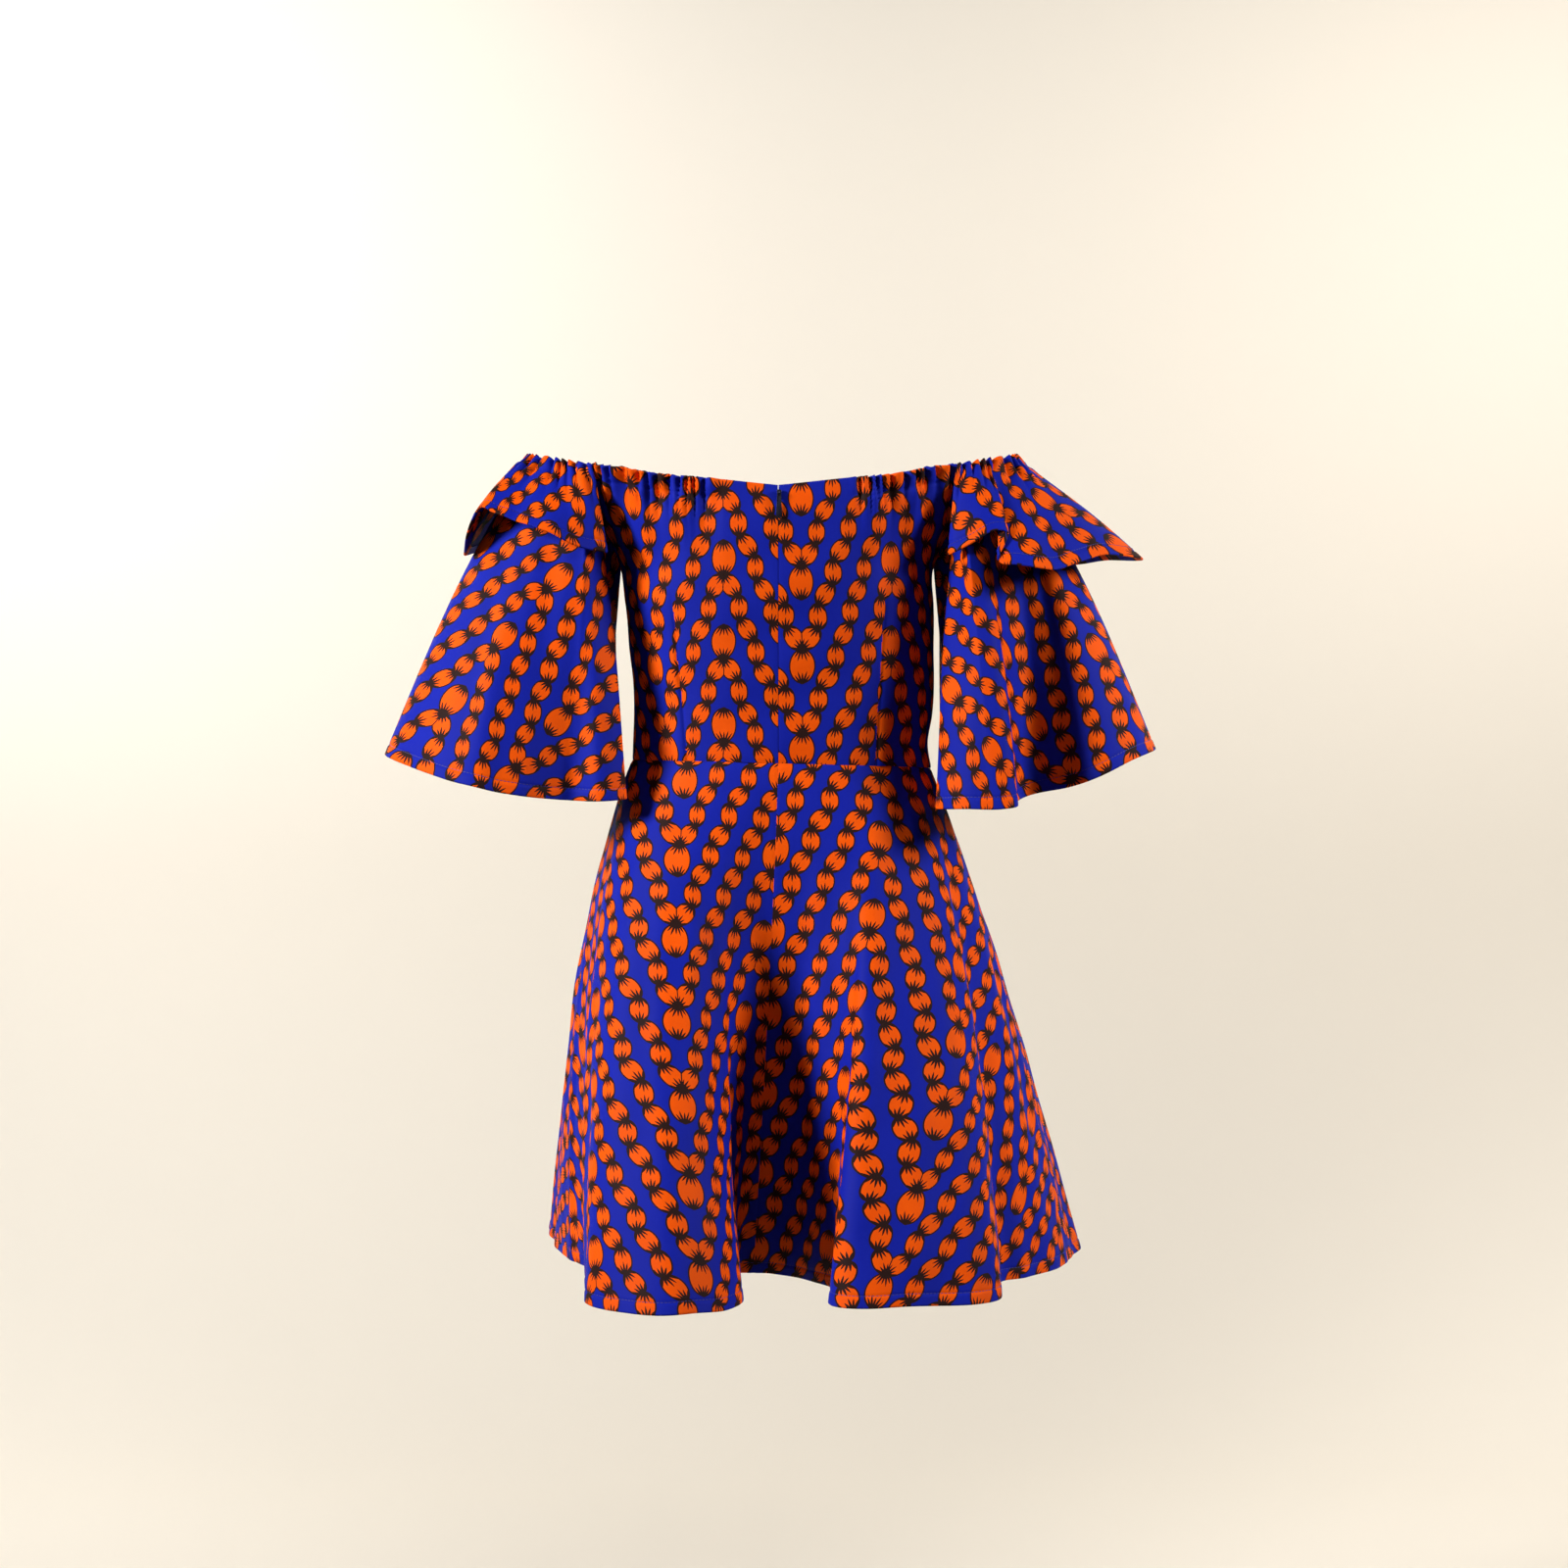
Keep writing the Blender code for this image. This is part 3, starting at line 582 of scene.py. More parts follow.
def bodice_piece(first, last, columns, mark):
    """A panel between two seams; mark sets where its print starts."""
    across = np.linspace(0, 1, columns)
    degrees = first + (last - first) * across
    degrees = degrees + np.zeros((BODICE_ROWS, 1))
    waist = WAIST_HEIGHT + WAIST_TILT * torso(degrees[0], np.full(columns, WAIST_HEIGHT))[:, 0]
    top = bodice_top(degrees[0])
    fall = np.linspace(0, 1, BODICE_ROWS)[:, None] ** 1.35
    height = top + (waist - top) * fall
    grid = torso(degrees, height)
    normals = outward_normals(grid)
    signed = np.where(degrees > 180, 360 - degrees, degrees)
    side = np.where(degrees > 180, -1.0, 1.0)
    length = round_length(signed, height)
    below = neckline_height(degrees) - height
    loose = looseness(grid)
    lift = gathers(side * length, below) * loose
    lift = lift + RIPPLE * np.sin(height * 95 + grid[..., 0] * 34) * np.sin(length * 31 + 1.1)
    lift = lift - dip(below - CASING, CASING_PULL) * loose
    swallowed = np.zeros_like(length)
    for dart_side, top_x, foot_x, dart_top, takes in DARTS:
        down = np.clip((dart_top - height) / (dart_top - WAIST_HEIGHT), -0.2, 1.1)
        line = dart_side * (top_x + (foot_x - top_x) * down)
        off = (grid[..., 0] - line) * dart_side
        on_back = (grid[..., 1] > 0) & (grid[..., 0] * dart_side > 0)
        depth = smooth_step(down, -0.05, 0.25) * on_back
        lift = lift - dip(off, DART_PULL) * depth
        lift = lift + dip(off - DART_PUFF_AT, DART_PUFF) * depth
        swallowed = swallowed + takes * np.clip(down, 0, 1) * (off > 0) * on_back
    near_seam = np.minimum(across, 1 - across) * length.max()
    lift = lift - dip(near_seam, PANEL_PULL)
    lift = lift - dip(height - waist, WAIST_PULL)
    grid = grid + normals * lift[..., None]
    flat_x = (length + swallowed) * side
    cut = np.stack([flat_x - mark[0], -height - mark[1]], -1)
    normals = outward_normals(grid)
    turned = turned_edge(grid, normals, 0, CASING, CASING_GAP)
    grid_all = np.concatenate([turned, grid])
    cut_all = np.concatenate([np.repeat(cut[:1], len(turned), 0), cut])
    cut_all[: len(turned), :, 1] -= np.linspace(CASING, 0.001, len(turned))[:, None]
    return grid_all, cut_all


BODICE_CUT = {
    # node: first and last degrees, columns, print mark across and down, flat size, area
    "bodice_back_left": (0.06, 89.95, BACK_COLUMNS, (0.0475, 0.1015), (0.22, 0.26), 0.046),
    "bodice_front": (90.05, 269.95, 220, (0.0200, 0.1015), (0.42, 0.26), 0.088),
    "bodice_back_right": (270.05, 359.94, BACK_COLUMNS, (-0.1042, 0.1015), (0.22, 0.26), 0.046),
}
for node, (first, last, columns, mark, flat, area) in BODICE_CUT.items():
    points, cut = bodice_piece(first, last, columns, mark)
    panel = sewn_cloth(node.replace("bodice", "printed_bodice"), points, cut)
    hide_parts(node)
    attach(panel, "dress")

# The sleeves: elbow length, each cut flared in one piece with a raglan edge to
# front and back, gathered into the neck casing, the hem turned up and stitched.
SLEEVE_SET_BACK = 0.0006
SLEEVE_MIDDLE = 0.170
SLEEVE_FALL = 0.28
RAGLAN_SHARE = 0.2
UNDER_FLOUNCE = 0.75
SLEEVE_WAVE = 0.0011
HEM_PUFF = 0.0003
HEM_PULL = (0.0006, 0.0011)
HEM_GAP = 0.0012
SHOULDER_ROUND = 0.009
SHOULDER_PEAK = 0.85
SLEEVE_COLUMNS = 250
SLEEVE_ROWS = 80
# share of the way round from the underarm by the back, x, y, z
SLEEVE_HEM_LEFT = (
    (0.00, 0.1580, 0.0000, -0.2900),
    (0.06, 0.1480, 0.0550, -0.2920),
    (0.11, 0.1320, 0.0860, -0.2935),
    (0.16, 0.1540, 0.0990, -0.2955),
    (0.21, 0.1830, 0.0880, -0.2945),
    (0.28, 0.2230, 0.1080, -0.2905),
    (0.35, 0.2630, 0.1170, -0.2825),
    (0.42, 0.3050, 0.0950, -0.2705),
    (0.46, 0.3350, 0.0560, -0.2605),
    (0.50, 0.3530, 0.0100, -0.2540),
    (0.54, 0.3520, -0.0450, -0.2550),
    (0.60, 0.3250, -0.0950, -0.2630),
    (0.67, 0.2850, -0.1180, -0.2720),
    (0.74, 0.2400, -0.1020, -0.2800),
    (0.80, 0.2050, -0.1180, -0.2860),
    (0.87, 0.1650, -0.1080, -0.2900),
    (0.93, 0.1500, -0.0620, -0.2920),
    (1.00, 0.1580, 0.0000, -0.2900),
)
SLEEVE_HEM_RIGHT = (
    (0.000, -0.1580, 0.0000, -0.2960),
    (0.060, -0.1500, 0.0550, -0.3000),
    (0.110, -0.1370, 0.0920, -0.3020),
    (0.165, -0.1650, 0.1180, -0.3020),
    (0.215, -0.1910, 0.1260, -0.3020),
    (0.250, -0.2045, 0.1170, -0.3000),
    (0.285, -0.2080, 0.0800, -0.2960),
    (0.325, -0.2260, 0.0540, -0.2890),
    (0.370, -0.2550, 0.0670, -0.2830),
    (0.410, -0.2810, 0.0850, -0.2730),
    (0.450, -0.3080, 0.0720, -0.2600),
    (0.500, -0.3370, 0.0120, -0.2500),
    (0.550, -0.3360, -0.0450, -0.2510),
    (0.610, -0.3080, -0.0920, -0.2620),
    (0.680, -0.2680, -0.1080, -0.2740),
    (0.740, -0.2320, -0.0940, -0.2830),
    (0.800, -0.1980, -0.1120, -0.2900),
    (0.870, -0.1650, -0.1040, -0.2940),
    (0.930, -0.1500, -0.0620, -0.2950),
    (1.000, -0.1580, 0.0000, -0.2960),
)


def sleeve_seam(share, side):
    """The sleeve's seamed edge: raglan seam, neckline, raglan seam."""
    share = np.asarray(share, float)
    up_back = np.clip(share / RAGLAN_SHARE, 0, 1)
    over = np.clip((share - RAGLAN_SHARE) / (1 - 2 * RAGLAN_SHARE), 0, 1)
    down_front = np.clip((share - (1 - RAGLAN_SHARE)) / RAGLAN_SHARE, 0, 1)
    degrees = UNDERARM + (RAGLAN_TOP - UNDERARM) * up_back
    degrees = degrees + (180 - 2 * RAGLAN_TOP) * over
    degrees = degrees + (RAGLAN_TOP - UNDERARM) * down_front
    on_raglan = (share < RAGLAN_SHARE) | (share > 1 - RAGLAN_SHARE)
    height = np.where(on_raglan, bodice_top(degrees), neckline_height(degrees))
    return torso(side * degrees, height), degrees


def outward(points, side):
    """Level directions away from the middle of the sleeve's top."""
    away = (points - np.array([side * SLEEVE_MIDDLE, 0.0, 0.0])) * np.array([1.0, 1.0, 0.0])
    return away / np.linalg.norm(away, axis=-1, keepdims=True)


def seam_outward(points):
    """Level directions straight out from the body's loop at a seam."""
    away = points * np.array([1.0, 2.0, 0.0])
    return away / np.linalg.norm(away, axis=-1, keepdims=True)


def row_places(count, length):
    """Shares of the fall, close together near the hem for its stitched turning."""
    fine = HEM_TURNING * 1.5 / length
    upper = np.linspace(0, 1 - fine, count - 12)
    return np.concatenate([upper, np.linspace(1 - fine, 1, 13)[1:]])


def hem_relief(to_hem):
    """The turned hem's slight fullness and the pull of its stitching."""
    puff = HEM_PUFF * smooth_step(HEM_TURNING - to_hem, 0.0, 0.002)
    return puff - dip(to_hem - HEM_TURNING, HEM_PULL)


def fall_lengths(grid):
    steps = np.linalg.norm(np.diff(grid, axis=0), axis=-1)
    return np.concatenate([np.zeros((1, grid.shape[1])), np.cumsum(steps, 0)])


def fan_cut(angle, radius, mark):
    """The flat place of cloth cut as a sector of a ring."""
    flat = np.stack([radius * np.sin(angle), radius * np.cos(angle)], -1)
    return flat - np.array(mark)


def sleeve_piece(hem, side, turn, grain, inner, mark):
    share = np.arange(SLEEVE_COLUMNS + 1) / SLEEVE_COLUMNS
    over_arm = np.clip(np.minimum(share, 1 - share) / RAGLAN_SHARE, 0, 1)[:, None]
    top, degrees = sleeve_seam(share, side)
    along = round_length(degrees, top[:, 2])
    top = top + seam_outward(top) * SLEEVE_SET_BACK
    bottom = through(hem, share)
    places = row_places(SLEEVE_ROWS, SLEEVE_FALL)
    fall = places[:, None, None]
    swell = SHOULDER_ROUND * np.sin(np.pi * fall**SHOULDER_PEAK) * over_arm
    base = top + (bottom - top) * fall + outward(bottom, side) * swell
    normals = outward_normals(base, side)
    lengths = fall_lengths(base)
    loose = smooth_step(over_arm[:, 0], 0.35, 1.0)
    lift = gathers(along, lengths) * loose * UNDER_FLOUNCE
    wave = np.sin(share * 61 + 0.8 * np.sin(places * 5)[:, None])
    wave = wave + 0.6 * np.sin(share * 103 + 2.0 + places[:, None] * 1.5)
    lift = lift + SLEEVE_WAVE * wave * smooth_step(places, 0.05, 0.5)[:, None]
    lift = lift + hem_relief(lengths[-1] - lengths)
    ends = smooth_step(np.minimum(share, 1 - share), 0.0, 0.02)
    lift = lift * ends
    grid = base + normals * lift[..., None]
    normals = outward_normals(grid, side)
    radius = inner - top[:, 2] + lengths
    angle = side * (share - grain) * turn
    cut = fan_cut(angle + 0 * lengths, radius, mark)
    turned = turned_edge(grid, normals, -1, HEM_TURNING, HEM_GAP)
    grid_all = np.concatenate([grid, turned])
    cut_all = np.concatenate([cut, np.repeat(cut[-1:], len(turned), 0)])
    cut_all[-len(turned):, :, 1] += np.linspace(0.001, HEM_TURNING, len(turned))[:, None]
    return grid_all, cut_all, grid, normals, lengths


def hem_stitches(name, grid, normals, lengths):
    """The hem's row of stitches, at the depth of the turning."""
    to_hem = (lengths[-1] - lengths).mean(1)
    row = int(np.argmin(np.abs(to_hem - HEM_TURNING)))
    return stitch_row(name, grid[row], normals[row])


SLEEVE_CUT = {
    # side: hem, sign, fan's turn, share of the straight grain, inner radius, print mark
    "left": (SLEEVE_HEM_LEFT, 1, 1.162, 0.808, 0.256, (-0.2179, 0.3023)),
    "right": (SLEEVE_HEM_RIGHT, -1, 1.263, 0.713, 0.266, (0.1452, 0.3651)),
}
for name, (hem, side, turn, grain, inner, mark) in SLEEVE_CUT.items():
    points, cut, outside, normals, lengths = sleeve_piece(
        hem, side, turn, grain, inner, mark
    )
    sleeve = sewn_cloth("printed_sleeve_" + name, points, cut)
    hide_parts("sleeve_" + name)
    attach(sleeve, "dress")
    hem_stitches("hem_stitching_sleeve_" + name, outside, normals, lengths)

# The flounces: a short flared strip over the top of each sleeve, gathered into
# the same casing, hemmed, and falling in open folds.
FLOUNCE_OFF = 0.0022
FLOUNCE_ROUND = 0.005
FLOUNCE_DEPTH = 0.085
FLOUNCE_WAVE = 0.0008
FLOUNCE_GAP = 0.0010
FLOUNCE_TURNING = 0.8
FLOUNCE_TURN = 1.45
FLOUNCE_FALL = 0.9
FLOUNCE_INNER = 0.19
FLOUNCE_COLUMNS = 200
FLOUNCE_ROWS = 40
FLOUNCE_EDGE_LEFT = (
    (0.10, 0.1490, 0.0820, -0.0795),
    (0.13, 0.1560, 0.0890, -0.0785),
    (0.18, 0.1740, 0.0980, -0.0750),
    (0.25, 0.2050, 0.1030, -0.0600),
    (0.32, 0.2300, 0.0920, -0.0520),
    (0.38, 0.2480, 0.0880, -0.0440),
    (0.43, 0.2620, 0.0760, -0.0430),
    (0.47, 0.2760, 0.0520, -0.0680),
    (0.50, 0.2810, 0.0100, -0.0750),
    (0.55, 0.2780, -0.0450, -0.0700),
    (0.62, 0.2560, -0.0820, -0.0600),
    (0.70, 0.2200, -0.1000, -0.0700),
    (0.80, 0.1830, -0.1100, -0.0780),
    (0.86, 0.1610, -0.0980, -0.0800),
    (0.90, 0.1490, -0.0880, -0.0800),
)
FLOUNCE_EDGE_RIGHT = (
    (0.100, -0.1480, 0.0880, -0.0825),
    (0.130, -0.1550, 0.0980, -0.0790),
    (0.160, -0.1700, 0.1060, -0.0710),
    (0.200, -0.1860, 0.1060, -0.0625),
    (0.235, -0.1980, 0.1060, -0.0660),
    (0.270, -0.1900, 0.1130, -0.0885),
    (0.310, -0.2060, 0.1200, -0.0930),
    (0.360, -0.2360, 0.1130, -0.0960),
    (0.410, -0.2620, 0.0920, -0.0880),
    (0.450, -0.2860, 0.0680, -0.0800),
    (0.490, -0.3160, 0.0340, -0.0790),
    (0.515, -0.3260, 0.0000, -0.0800),
    (0.560, -0.3000, -0.0500, -0.0760),
    (0.640, -0.2620, -0.0870, -0.0800),
    (0.720, -0.2250, -0.1060, -0.0880),
    (0.800, -0.1880, -0.1110, -0.0840),
    (0.860, -0.1620, -0.0990, -0.0830),
    (0.900, -0.1480, -0.0890, -0.0830),
)


def flounce_piece(edge, side, grain, mark):
    across = np.linspace(0, 1, FLOUNCE_COLUMNS)
    top, degrees = sleeve_seam(RAGLAN_SHARE + (1 - 2 * RAGLAN_SHARE) * across, side)
    along = round_length(degrees, top[:, 2])
    top = top + outward(top, side) * FLOUNCE_OFF
    bottom = through(edge, edge[0][0] + (edge[-1][0] - edge[0][0]) * across)
    places = row_places(FLOUNCE_ROWS, FLOUNCE_DEPTH)
    fall = places[:, None, None]
    base = top + (bottom - top) * fall
    base = base + outward(bottom, side) * FLOUNCE_ROUND * np.sin(np.pi * fall)
    normals = outward_normals(base, side)
    lengths = fall_lengths(base)
    lift = gathers(along, lengths) * UNDER_FLOUNCE
    lift = lift - dip(lengths - CASING, CASING_PULL)
    wave = np.sin(across * 47 + 1.3) + 0.5 * np.sin(across * 89)
    lift = lift + FLOUNCE_WAVE * wave * smooth_step(places, 0.3, 0.9)[:, None]
    lift = lift + hem_relief(lengths[-1] - lengths)
    grid = base + normals * lift[..., None]
    normals = outward_normals(grid, side)
    angle = side * (across - grain) * FLOUNCE_TURN
    cut = fan_cut(angle + 0 * lengths, FLOUNCE_INNER + lengths * FLOUNCE_FALL, mark)
    casing = turned_edge(grid, normals, 0, CASING * FLOUNCE_TURNING, FLOUNCE_GAP)
    turned = turned_edge(grid, normals, -1, HEM_TURNING * FLOUNCE_TURNING, HEM_GAP)
    grid_all = np.concatenate([casing, grid, turned])
    cut_all = np.concatenate(
        [np.repeat(cut[:1], len(casing), 0), cut, np.repeat(cut[-1:], len(turned), 0)]
    )
    return grid_all, cut_all, grid, normals, lengths


FLOUNCE_CUT = {
    "left": (FLOUNCE_EDGE_LEFT, 1, 0.51, (-0.1275, 0.1793)),
    "right": (FLOUNCE_EDGE_RIGHT, -1, 0.838, (0.1509, 0.2062)),
}
for name, (edge, side, grain, mark) in FLOUNCE_CUT.items():
    points, cut, outside, normals, lengths = flounce_piece(edge, side, grain, mark)
    flounce = sewn_cloth("printed_flounce_" + name, points, cut)
    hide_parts("flounce_" + name)
    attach(flounce, "dress")
    hem_stitches("hem_stitching_flounce_" + name, outside, normals, lengths)

# The skirt: two back panels and one front, together half a circle, so that the
# hem falls in deep soft folds from a smooth waist. The hem is turned up narrow.
HEM_HEIGHT = -0.714
CALM_SIDE = 0.232
CALM_BACK = 0.185
CALM_FRONT = 0.235
FOLD_START = 1.2
HIP_LEFT = 0.020
HIP_RIGHT = 0.013
HIP_BACK = 0.010
HIP_PEAK = 0.85
SKIRT_ROWS = 150
SKIRT_FALL = 0.46
SKIRT_WAVE = 0.0013
SKIRT_RIPPLE = 0.0006
SKIRT_SEAM_PULL = (0.0006, 0.0014)
# hems seam to seam: x, y
HEM_BACK_LEFT = (
    (0.0220, 0.0350),
    (0.0340, 0.0370),
    (0.0410, 0.0600),
    (0.0370, 0.1100),
    (0.0300, 0.1670),
    (0.0395, 0.2100),
    (0.0665, 0.2280),
    (0.0925, 0.2390),
    (0.1220, 0.2280),
    (0.1550, 0.1940),
    (0.1640, 0.1200),
    (0.1620, 0.0500),
    (0.1680, 0.0050),
    (0.1900, -0.0340),
)
HEM_FRONT = (
    (0.1900, -0.0340),
    (0.2060, -0.1000),
    (0.2180, -0.1800),
    (0.2230, -0.2450),
    (0.1950, -0.2850),
    (0.1450, -0.2750),
    (0.1050, -0.2150),
    (0.0700, -0.1850),
    (0.0350, -0.2250),
    (0.0000, -0.2650),
    (-0.0450, -0.2650),
    (-0.0800, -0.2150),
    (-0.1150, -0.1850),
    (-0.1450, -0.2250),
    (-0.1850, -0.2700),
    (-0.2350, -0.2550),
    (-0.2700, -0.1900),
    (-0.2800, -0.1070),
    (-0.2640, -0.0350),
)
HEM_BACK_RIGHT = (
    (-0.2640, -0.0350),
    (-0.2480, 0.0120),
    (-0.2180, 0.0550),
    (-0.1950, 0.0750),
    (-0.1900, 0.1250),
    (-0.1860, 0.1650),
    (-0.1650, 0.1870),
    (-0.1310, 0.1940),
    (-0.1040, 0.1990),
    (-0.0780, 0.2070),
    (-0.0545, 0.2040),
    (-0.0420, 0.1850),
    (-0.0480, 0.1450),
    (-0.0420, 0.1000),
    (-0.0210, 0.0620),
    (0.0050, 0.0380),
    (0.0220, 0.0350),
)


def by_length(points, share):
    """Places along a smooth line, given as shares of its length."""
    keyed = np.column_stack([np.arange(len(points)), points])
    fine = through(keyed, np.linspace(0, len(points) - 1, 1200))
    steps = np.linalg.norm(np.diff(fine, axis=0), axis=1)
    along = np.concatenate([[0], np.cumsum(steps)])
    along = along / along[-1]
    return np.stack([np.interp(share, along, fine[:, k]) for k in range(2)], -1)


def fan_angles(base, radius, fall, grain, scales, taken):
    """Angles in the flat fan that keep the lengths along each row of the cloth."""
    steps = np.linalg.norm(np.diff(base, axis=1), axis=-1)
    along = np.concatenate([np.zeros((len(base), 1)), np.cumsum(steps, 1)], 1)
    column = round(grain * (base.shape[1] - 1))
    reach = along - along[:, column : column + 1]
    reach = np.where(reach < 0, reach * scales[0], reach * scales[1])
    reach = reach + taken * fall**1.5 * smooth_step(-reach, 0.075, 0.215)
    return reach / radius


def skirt_piece(hem, first, last, columns, grain, scales, taken, inner, mark):
    share = np.linspace(0.00005, 0.99995, columns)
    degrees = first + (last - first) * share
    waist = torso(degrees, np.full(columns, WAIST_HEIGHT))
    waist[:, 2] = WAIST_HEIGHT + WAIST_TILT * waist[:, 0] - 0.0002
    sine = np.sin(np.radians(degrees))
    cosine = np.cos(np.radians(degrees))
    calm_depth = np.where(cosine > 0, CALM_BACK, CALM_FRONT)
    calm = np.stack([CALM_SIDE * sine, calm_depth * cosine], -1)
    folds = by_length(np.array(hem), share) - calm
    places = row_places(SKIRT_ROWS, SKIRT_FALL)
    fall = places[:, None]
    level = waist[:, :2] + (calm - waist[:, :2]) * fall[..., None]
    level = level + folds * (fall**FOLD_START)[..., None]
    hip_side = np.where(sine > 0, HIP_LEFT, HIP_RIGHT)
    push = np.stack([hip_side * sine, HIP_BACK * cosine], -1)
    level = level + push * np.sin(np.pi * fall**HIP_PEAK)[..., None]
    height = waist[:, 2] + (HEM_HEIGHT - waist[:, 2]) * fall
    base = np.concatenate([level, height[..., None]], -1)
    normals = outward_normals(base)
    lengths = fall_lengths(base)
    turn = np.radians(degrees)
    wave = np.sin(turn * 23 + 1.1 * np.sin(fall * 4.0))
    wave = wave + 0.7 * np.sin(turn * 37 + 2.1 + 1.4 * fall)
    lift = SKIRT_WAVE * wave * smooth_step(fall, 0.08, 0.6)
    lift = lift + SKIRT_RIPPLE * np.sin(height * 63 + turn * 9) * np.sin(turn * 14)
    lift = lift + hem_relief(lengths[-1] - lengths)
    near_seam = np.minimum(share, 1 - share) * 0.35
    lift = lift * smooth_step(near_seam, 0.0, 0.012)
    lift = lift - dip(near_seam, SKIRT_SEAM_PULL)
    lift = lift - dip(lengths, WAIST_PULL)
    grid = base + normals * lift[..., None]
    normals = outward_normals(grid)
    angle = fan_angles(base, inner + lengths, fall, grain, scales, taken)
    cut = fan_cut(angle, inner + lengths, mark)
    turned = turned_edge(grid, normals, -1, HEM_TURNING, HEM_GAP)
    grid_all = np.concatenate([grid, turned])
    cut_all = np.concatenate([cut, np.repeat(cut[-1:], len(turned), 0)])
    return grid_all, cut_all, grid, normals, lengths


SKIRT_CUT = {
    # node: hem, first and last degrees, columns, share of the straight grain, print
    # scale before and after it, cloth taken by the fold, inner radius, print mark,
    # flat size, area
    "skirt_back_left": (
        HEM_BACK_LEFT, 0, 90, 170, 0.38, (1.03, 0.82), 0.0,
        0.245, (-0.0845, 0.3300), (0.52, 0.56), 0.180,
    ),
    "skirt_front": (
        HEM_FRONT, 90, 270, 290, 0.5, (1.0, 1.0), 0.0,
        0.245, (0.03, 0.25), (1.0, 0.56), 0.355,
    ),
    "skirt_back_right": (
        HEM_BACK_RIGHT, 270, 360, 170, 1.0, (0.96, 1.0), 0.0500,
        0.245, (-0.0857, 0.3130), (0.52, 0.56), 0.180,
    ),
}
for node, values in SKIRT_CUT.items():
    hem, first, last, columns, grain, scales, taken, inner, mark, flat, area = values
    points, cut, outside, normals, lengths = skirt_piece(
        hem, first, last, columns, grain, scales, taken, inner, mark
    )
    panel = sewn_cloth(node.replace("skirt", "printed_skirt"), points, cut)
    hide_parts(node)
    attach(panel, "dress")
    hem_stitches("hem_stitching_" + node, outside, normals, lengths)

# The zip: a concealed one in the centre back seam, with its woven tape and coil
# on the inside, and outside only a small slider and a teardrop pull in dark
# enamelled metal. The pull hangs from a bridge cast on the slider.
SLIDER_SIZE = (0.0042, 0.0026, 0.0078)
SLIDER_AT = (-0.0008, 0.11258, -0.0324)
SLIDER_WAIST = 0.30
SLIDER_RIM = SLIDER_SIZE[0] * 0.16
SLIDER_HOLLOW = 0.00015
PIN_AT = (-0.0008, 0.11463, -0.03123)
BRIDGE_RADIUS = 0.00128
BRIDGE_WIRE = 0.00036
PULL_THICK = 0.0009
PULL_POINTS = 48
# share of the way down from the top, half width
PULL_OUTLINE = (
    (0.00, 0.0000),
    (0.02, 0.0011),
    (0.06, 0.0017),
    (0.15, 0.0019),
    (0.45, 0.0021),
    (0.75, 0.0026),
    (0.90, 0.0024),
    (0.97, 0.0014),
    (1.00, 0.0000),
)
PULL_TOP = 0.0006
PULL_FOOT = -0.0224
PULL_HOLE = (0.0009, -0.0008, -0.0034)
ROUNDED_FROM = 35.0
SMOOTH_UNDER = 40.0


def zip_material(name, colour, rough, metal, grain):
    made, shader = new_material(name)
    tree = made.node_tree
    place = tree.nodes.new("ShaderNodeTexCoord")
    speck = noise(tree, place.outputs["Object"], grain, 4.0)
    tint = mixed(tree, speck, colour, lighter(colour, 1.9))
    tree.links.new(tint, shader.inputs["Base Color"])
    worn = reckon(tree, "MULTIPLY_ADD", speck, 0.25, rough)
    tree.links.new(worn, shader.inputs["Roughness"])
    tree.links.new(raised(tree, speck, 0.15, 0.0002), shader.inputs["Normal"])
    shader.inputs["Metallic"].default_value = metal
    return made


ENAMEL = zip_material("dark zip enamel", (0.022, 0.022, 0.036, 1.0), 0.22, 0.85, 900.0)
TAPE = zip_material("knitted zip tape", (0.010, 0.010, 0.120, 1.0), 0.70, 0.0, 1600.0)
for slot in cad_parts["zip_chain"].material_slots:
    slot.material = TAPE


def finish_piece(made, name, round_edge):
    """Rounded edges, smooth shading, its place in its mesh and the zip's enamel."""
    made.name = name
    bpy.ops.object.select_all(action="DESELECT")
    made.select_set(True)
    bpy.context.view_layer.objects.active = made
    bpy.ops.object.transform_apply(location=True, rotation=True, scale=True)
    edges = made.modifiers.new("Edges", "BEVEL")
    edges.width = round_edge
    edges.segments = 3
    edges.angle_limit = math.radians(ROUNDED_FROM)
    bpy.ops.object.modifier_apply(modifier="Edges")
    bpy.ops.object.shade_smooth_by_angle(angle=math.radians(SMOOTH_UNDER))
    made.data.materials.clear()
    made.data.materials.append(ENAMEL)
    return made


def facing(made, least):
    """Selects, for edit mode, the faces that look outwards from the back."""
    for face in made.data.polygons:
        face.select = face.normal.y > least


bpy.ops.object.select_all(action="DESELECT")
bpy.ops.mesh.primitive_cube_add(size=1.0, location=SLIDER_AT)
slider = bpy.context.object
slider.scale = SLIDER_SIZE
bpy.ops.object.transform_apply(location=False, rotation=False, scale=True)
bpy.ops.object.mode_set(mode="EDIT")
bpy.ops.mesh.select_all(action="SELECT")
bpy.ops.mesh.subdivide(number_cuts=3)
bpy.ops.object.mode_set(mode="OBJECT")
for corner in slider.data.vertices:
    down = 0.5 - corner.co.z / SLIDER_SIZE[2]
    corner.co.x *= 1 - SLIDER_WAIST * down * down
facing(slider, 0.9)
bpy.ops.object.mode_set(mode="EDIT")
bpy.ops.mesh.select_mode(type="FACE")
bpy.ops.mesh.inset(thickness=SLIDER_RIM, depth=-SLIDER_HOLLOW)
bpy.ops.object.mode_set(mode="OBJECT")
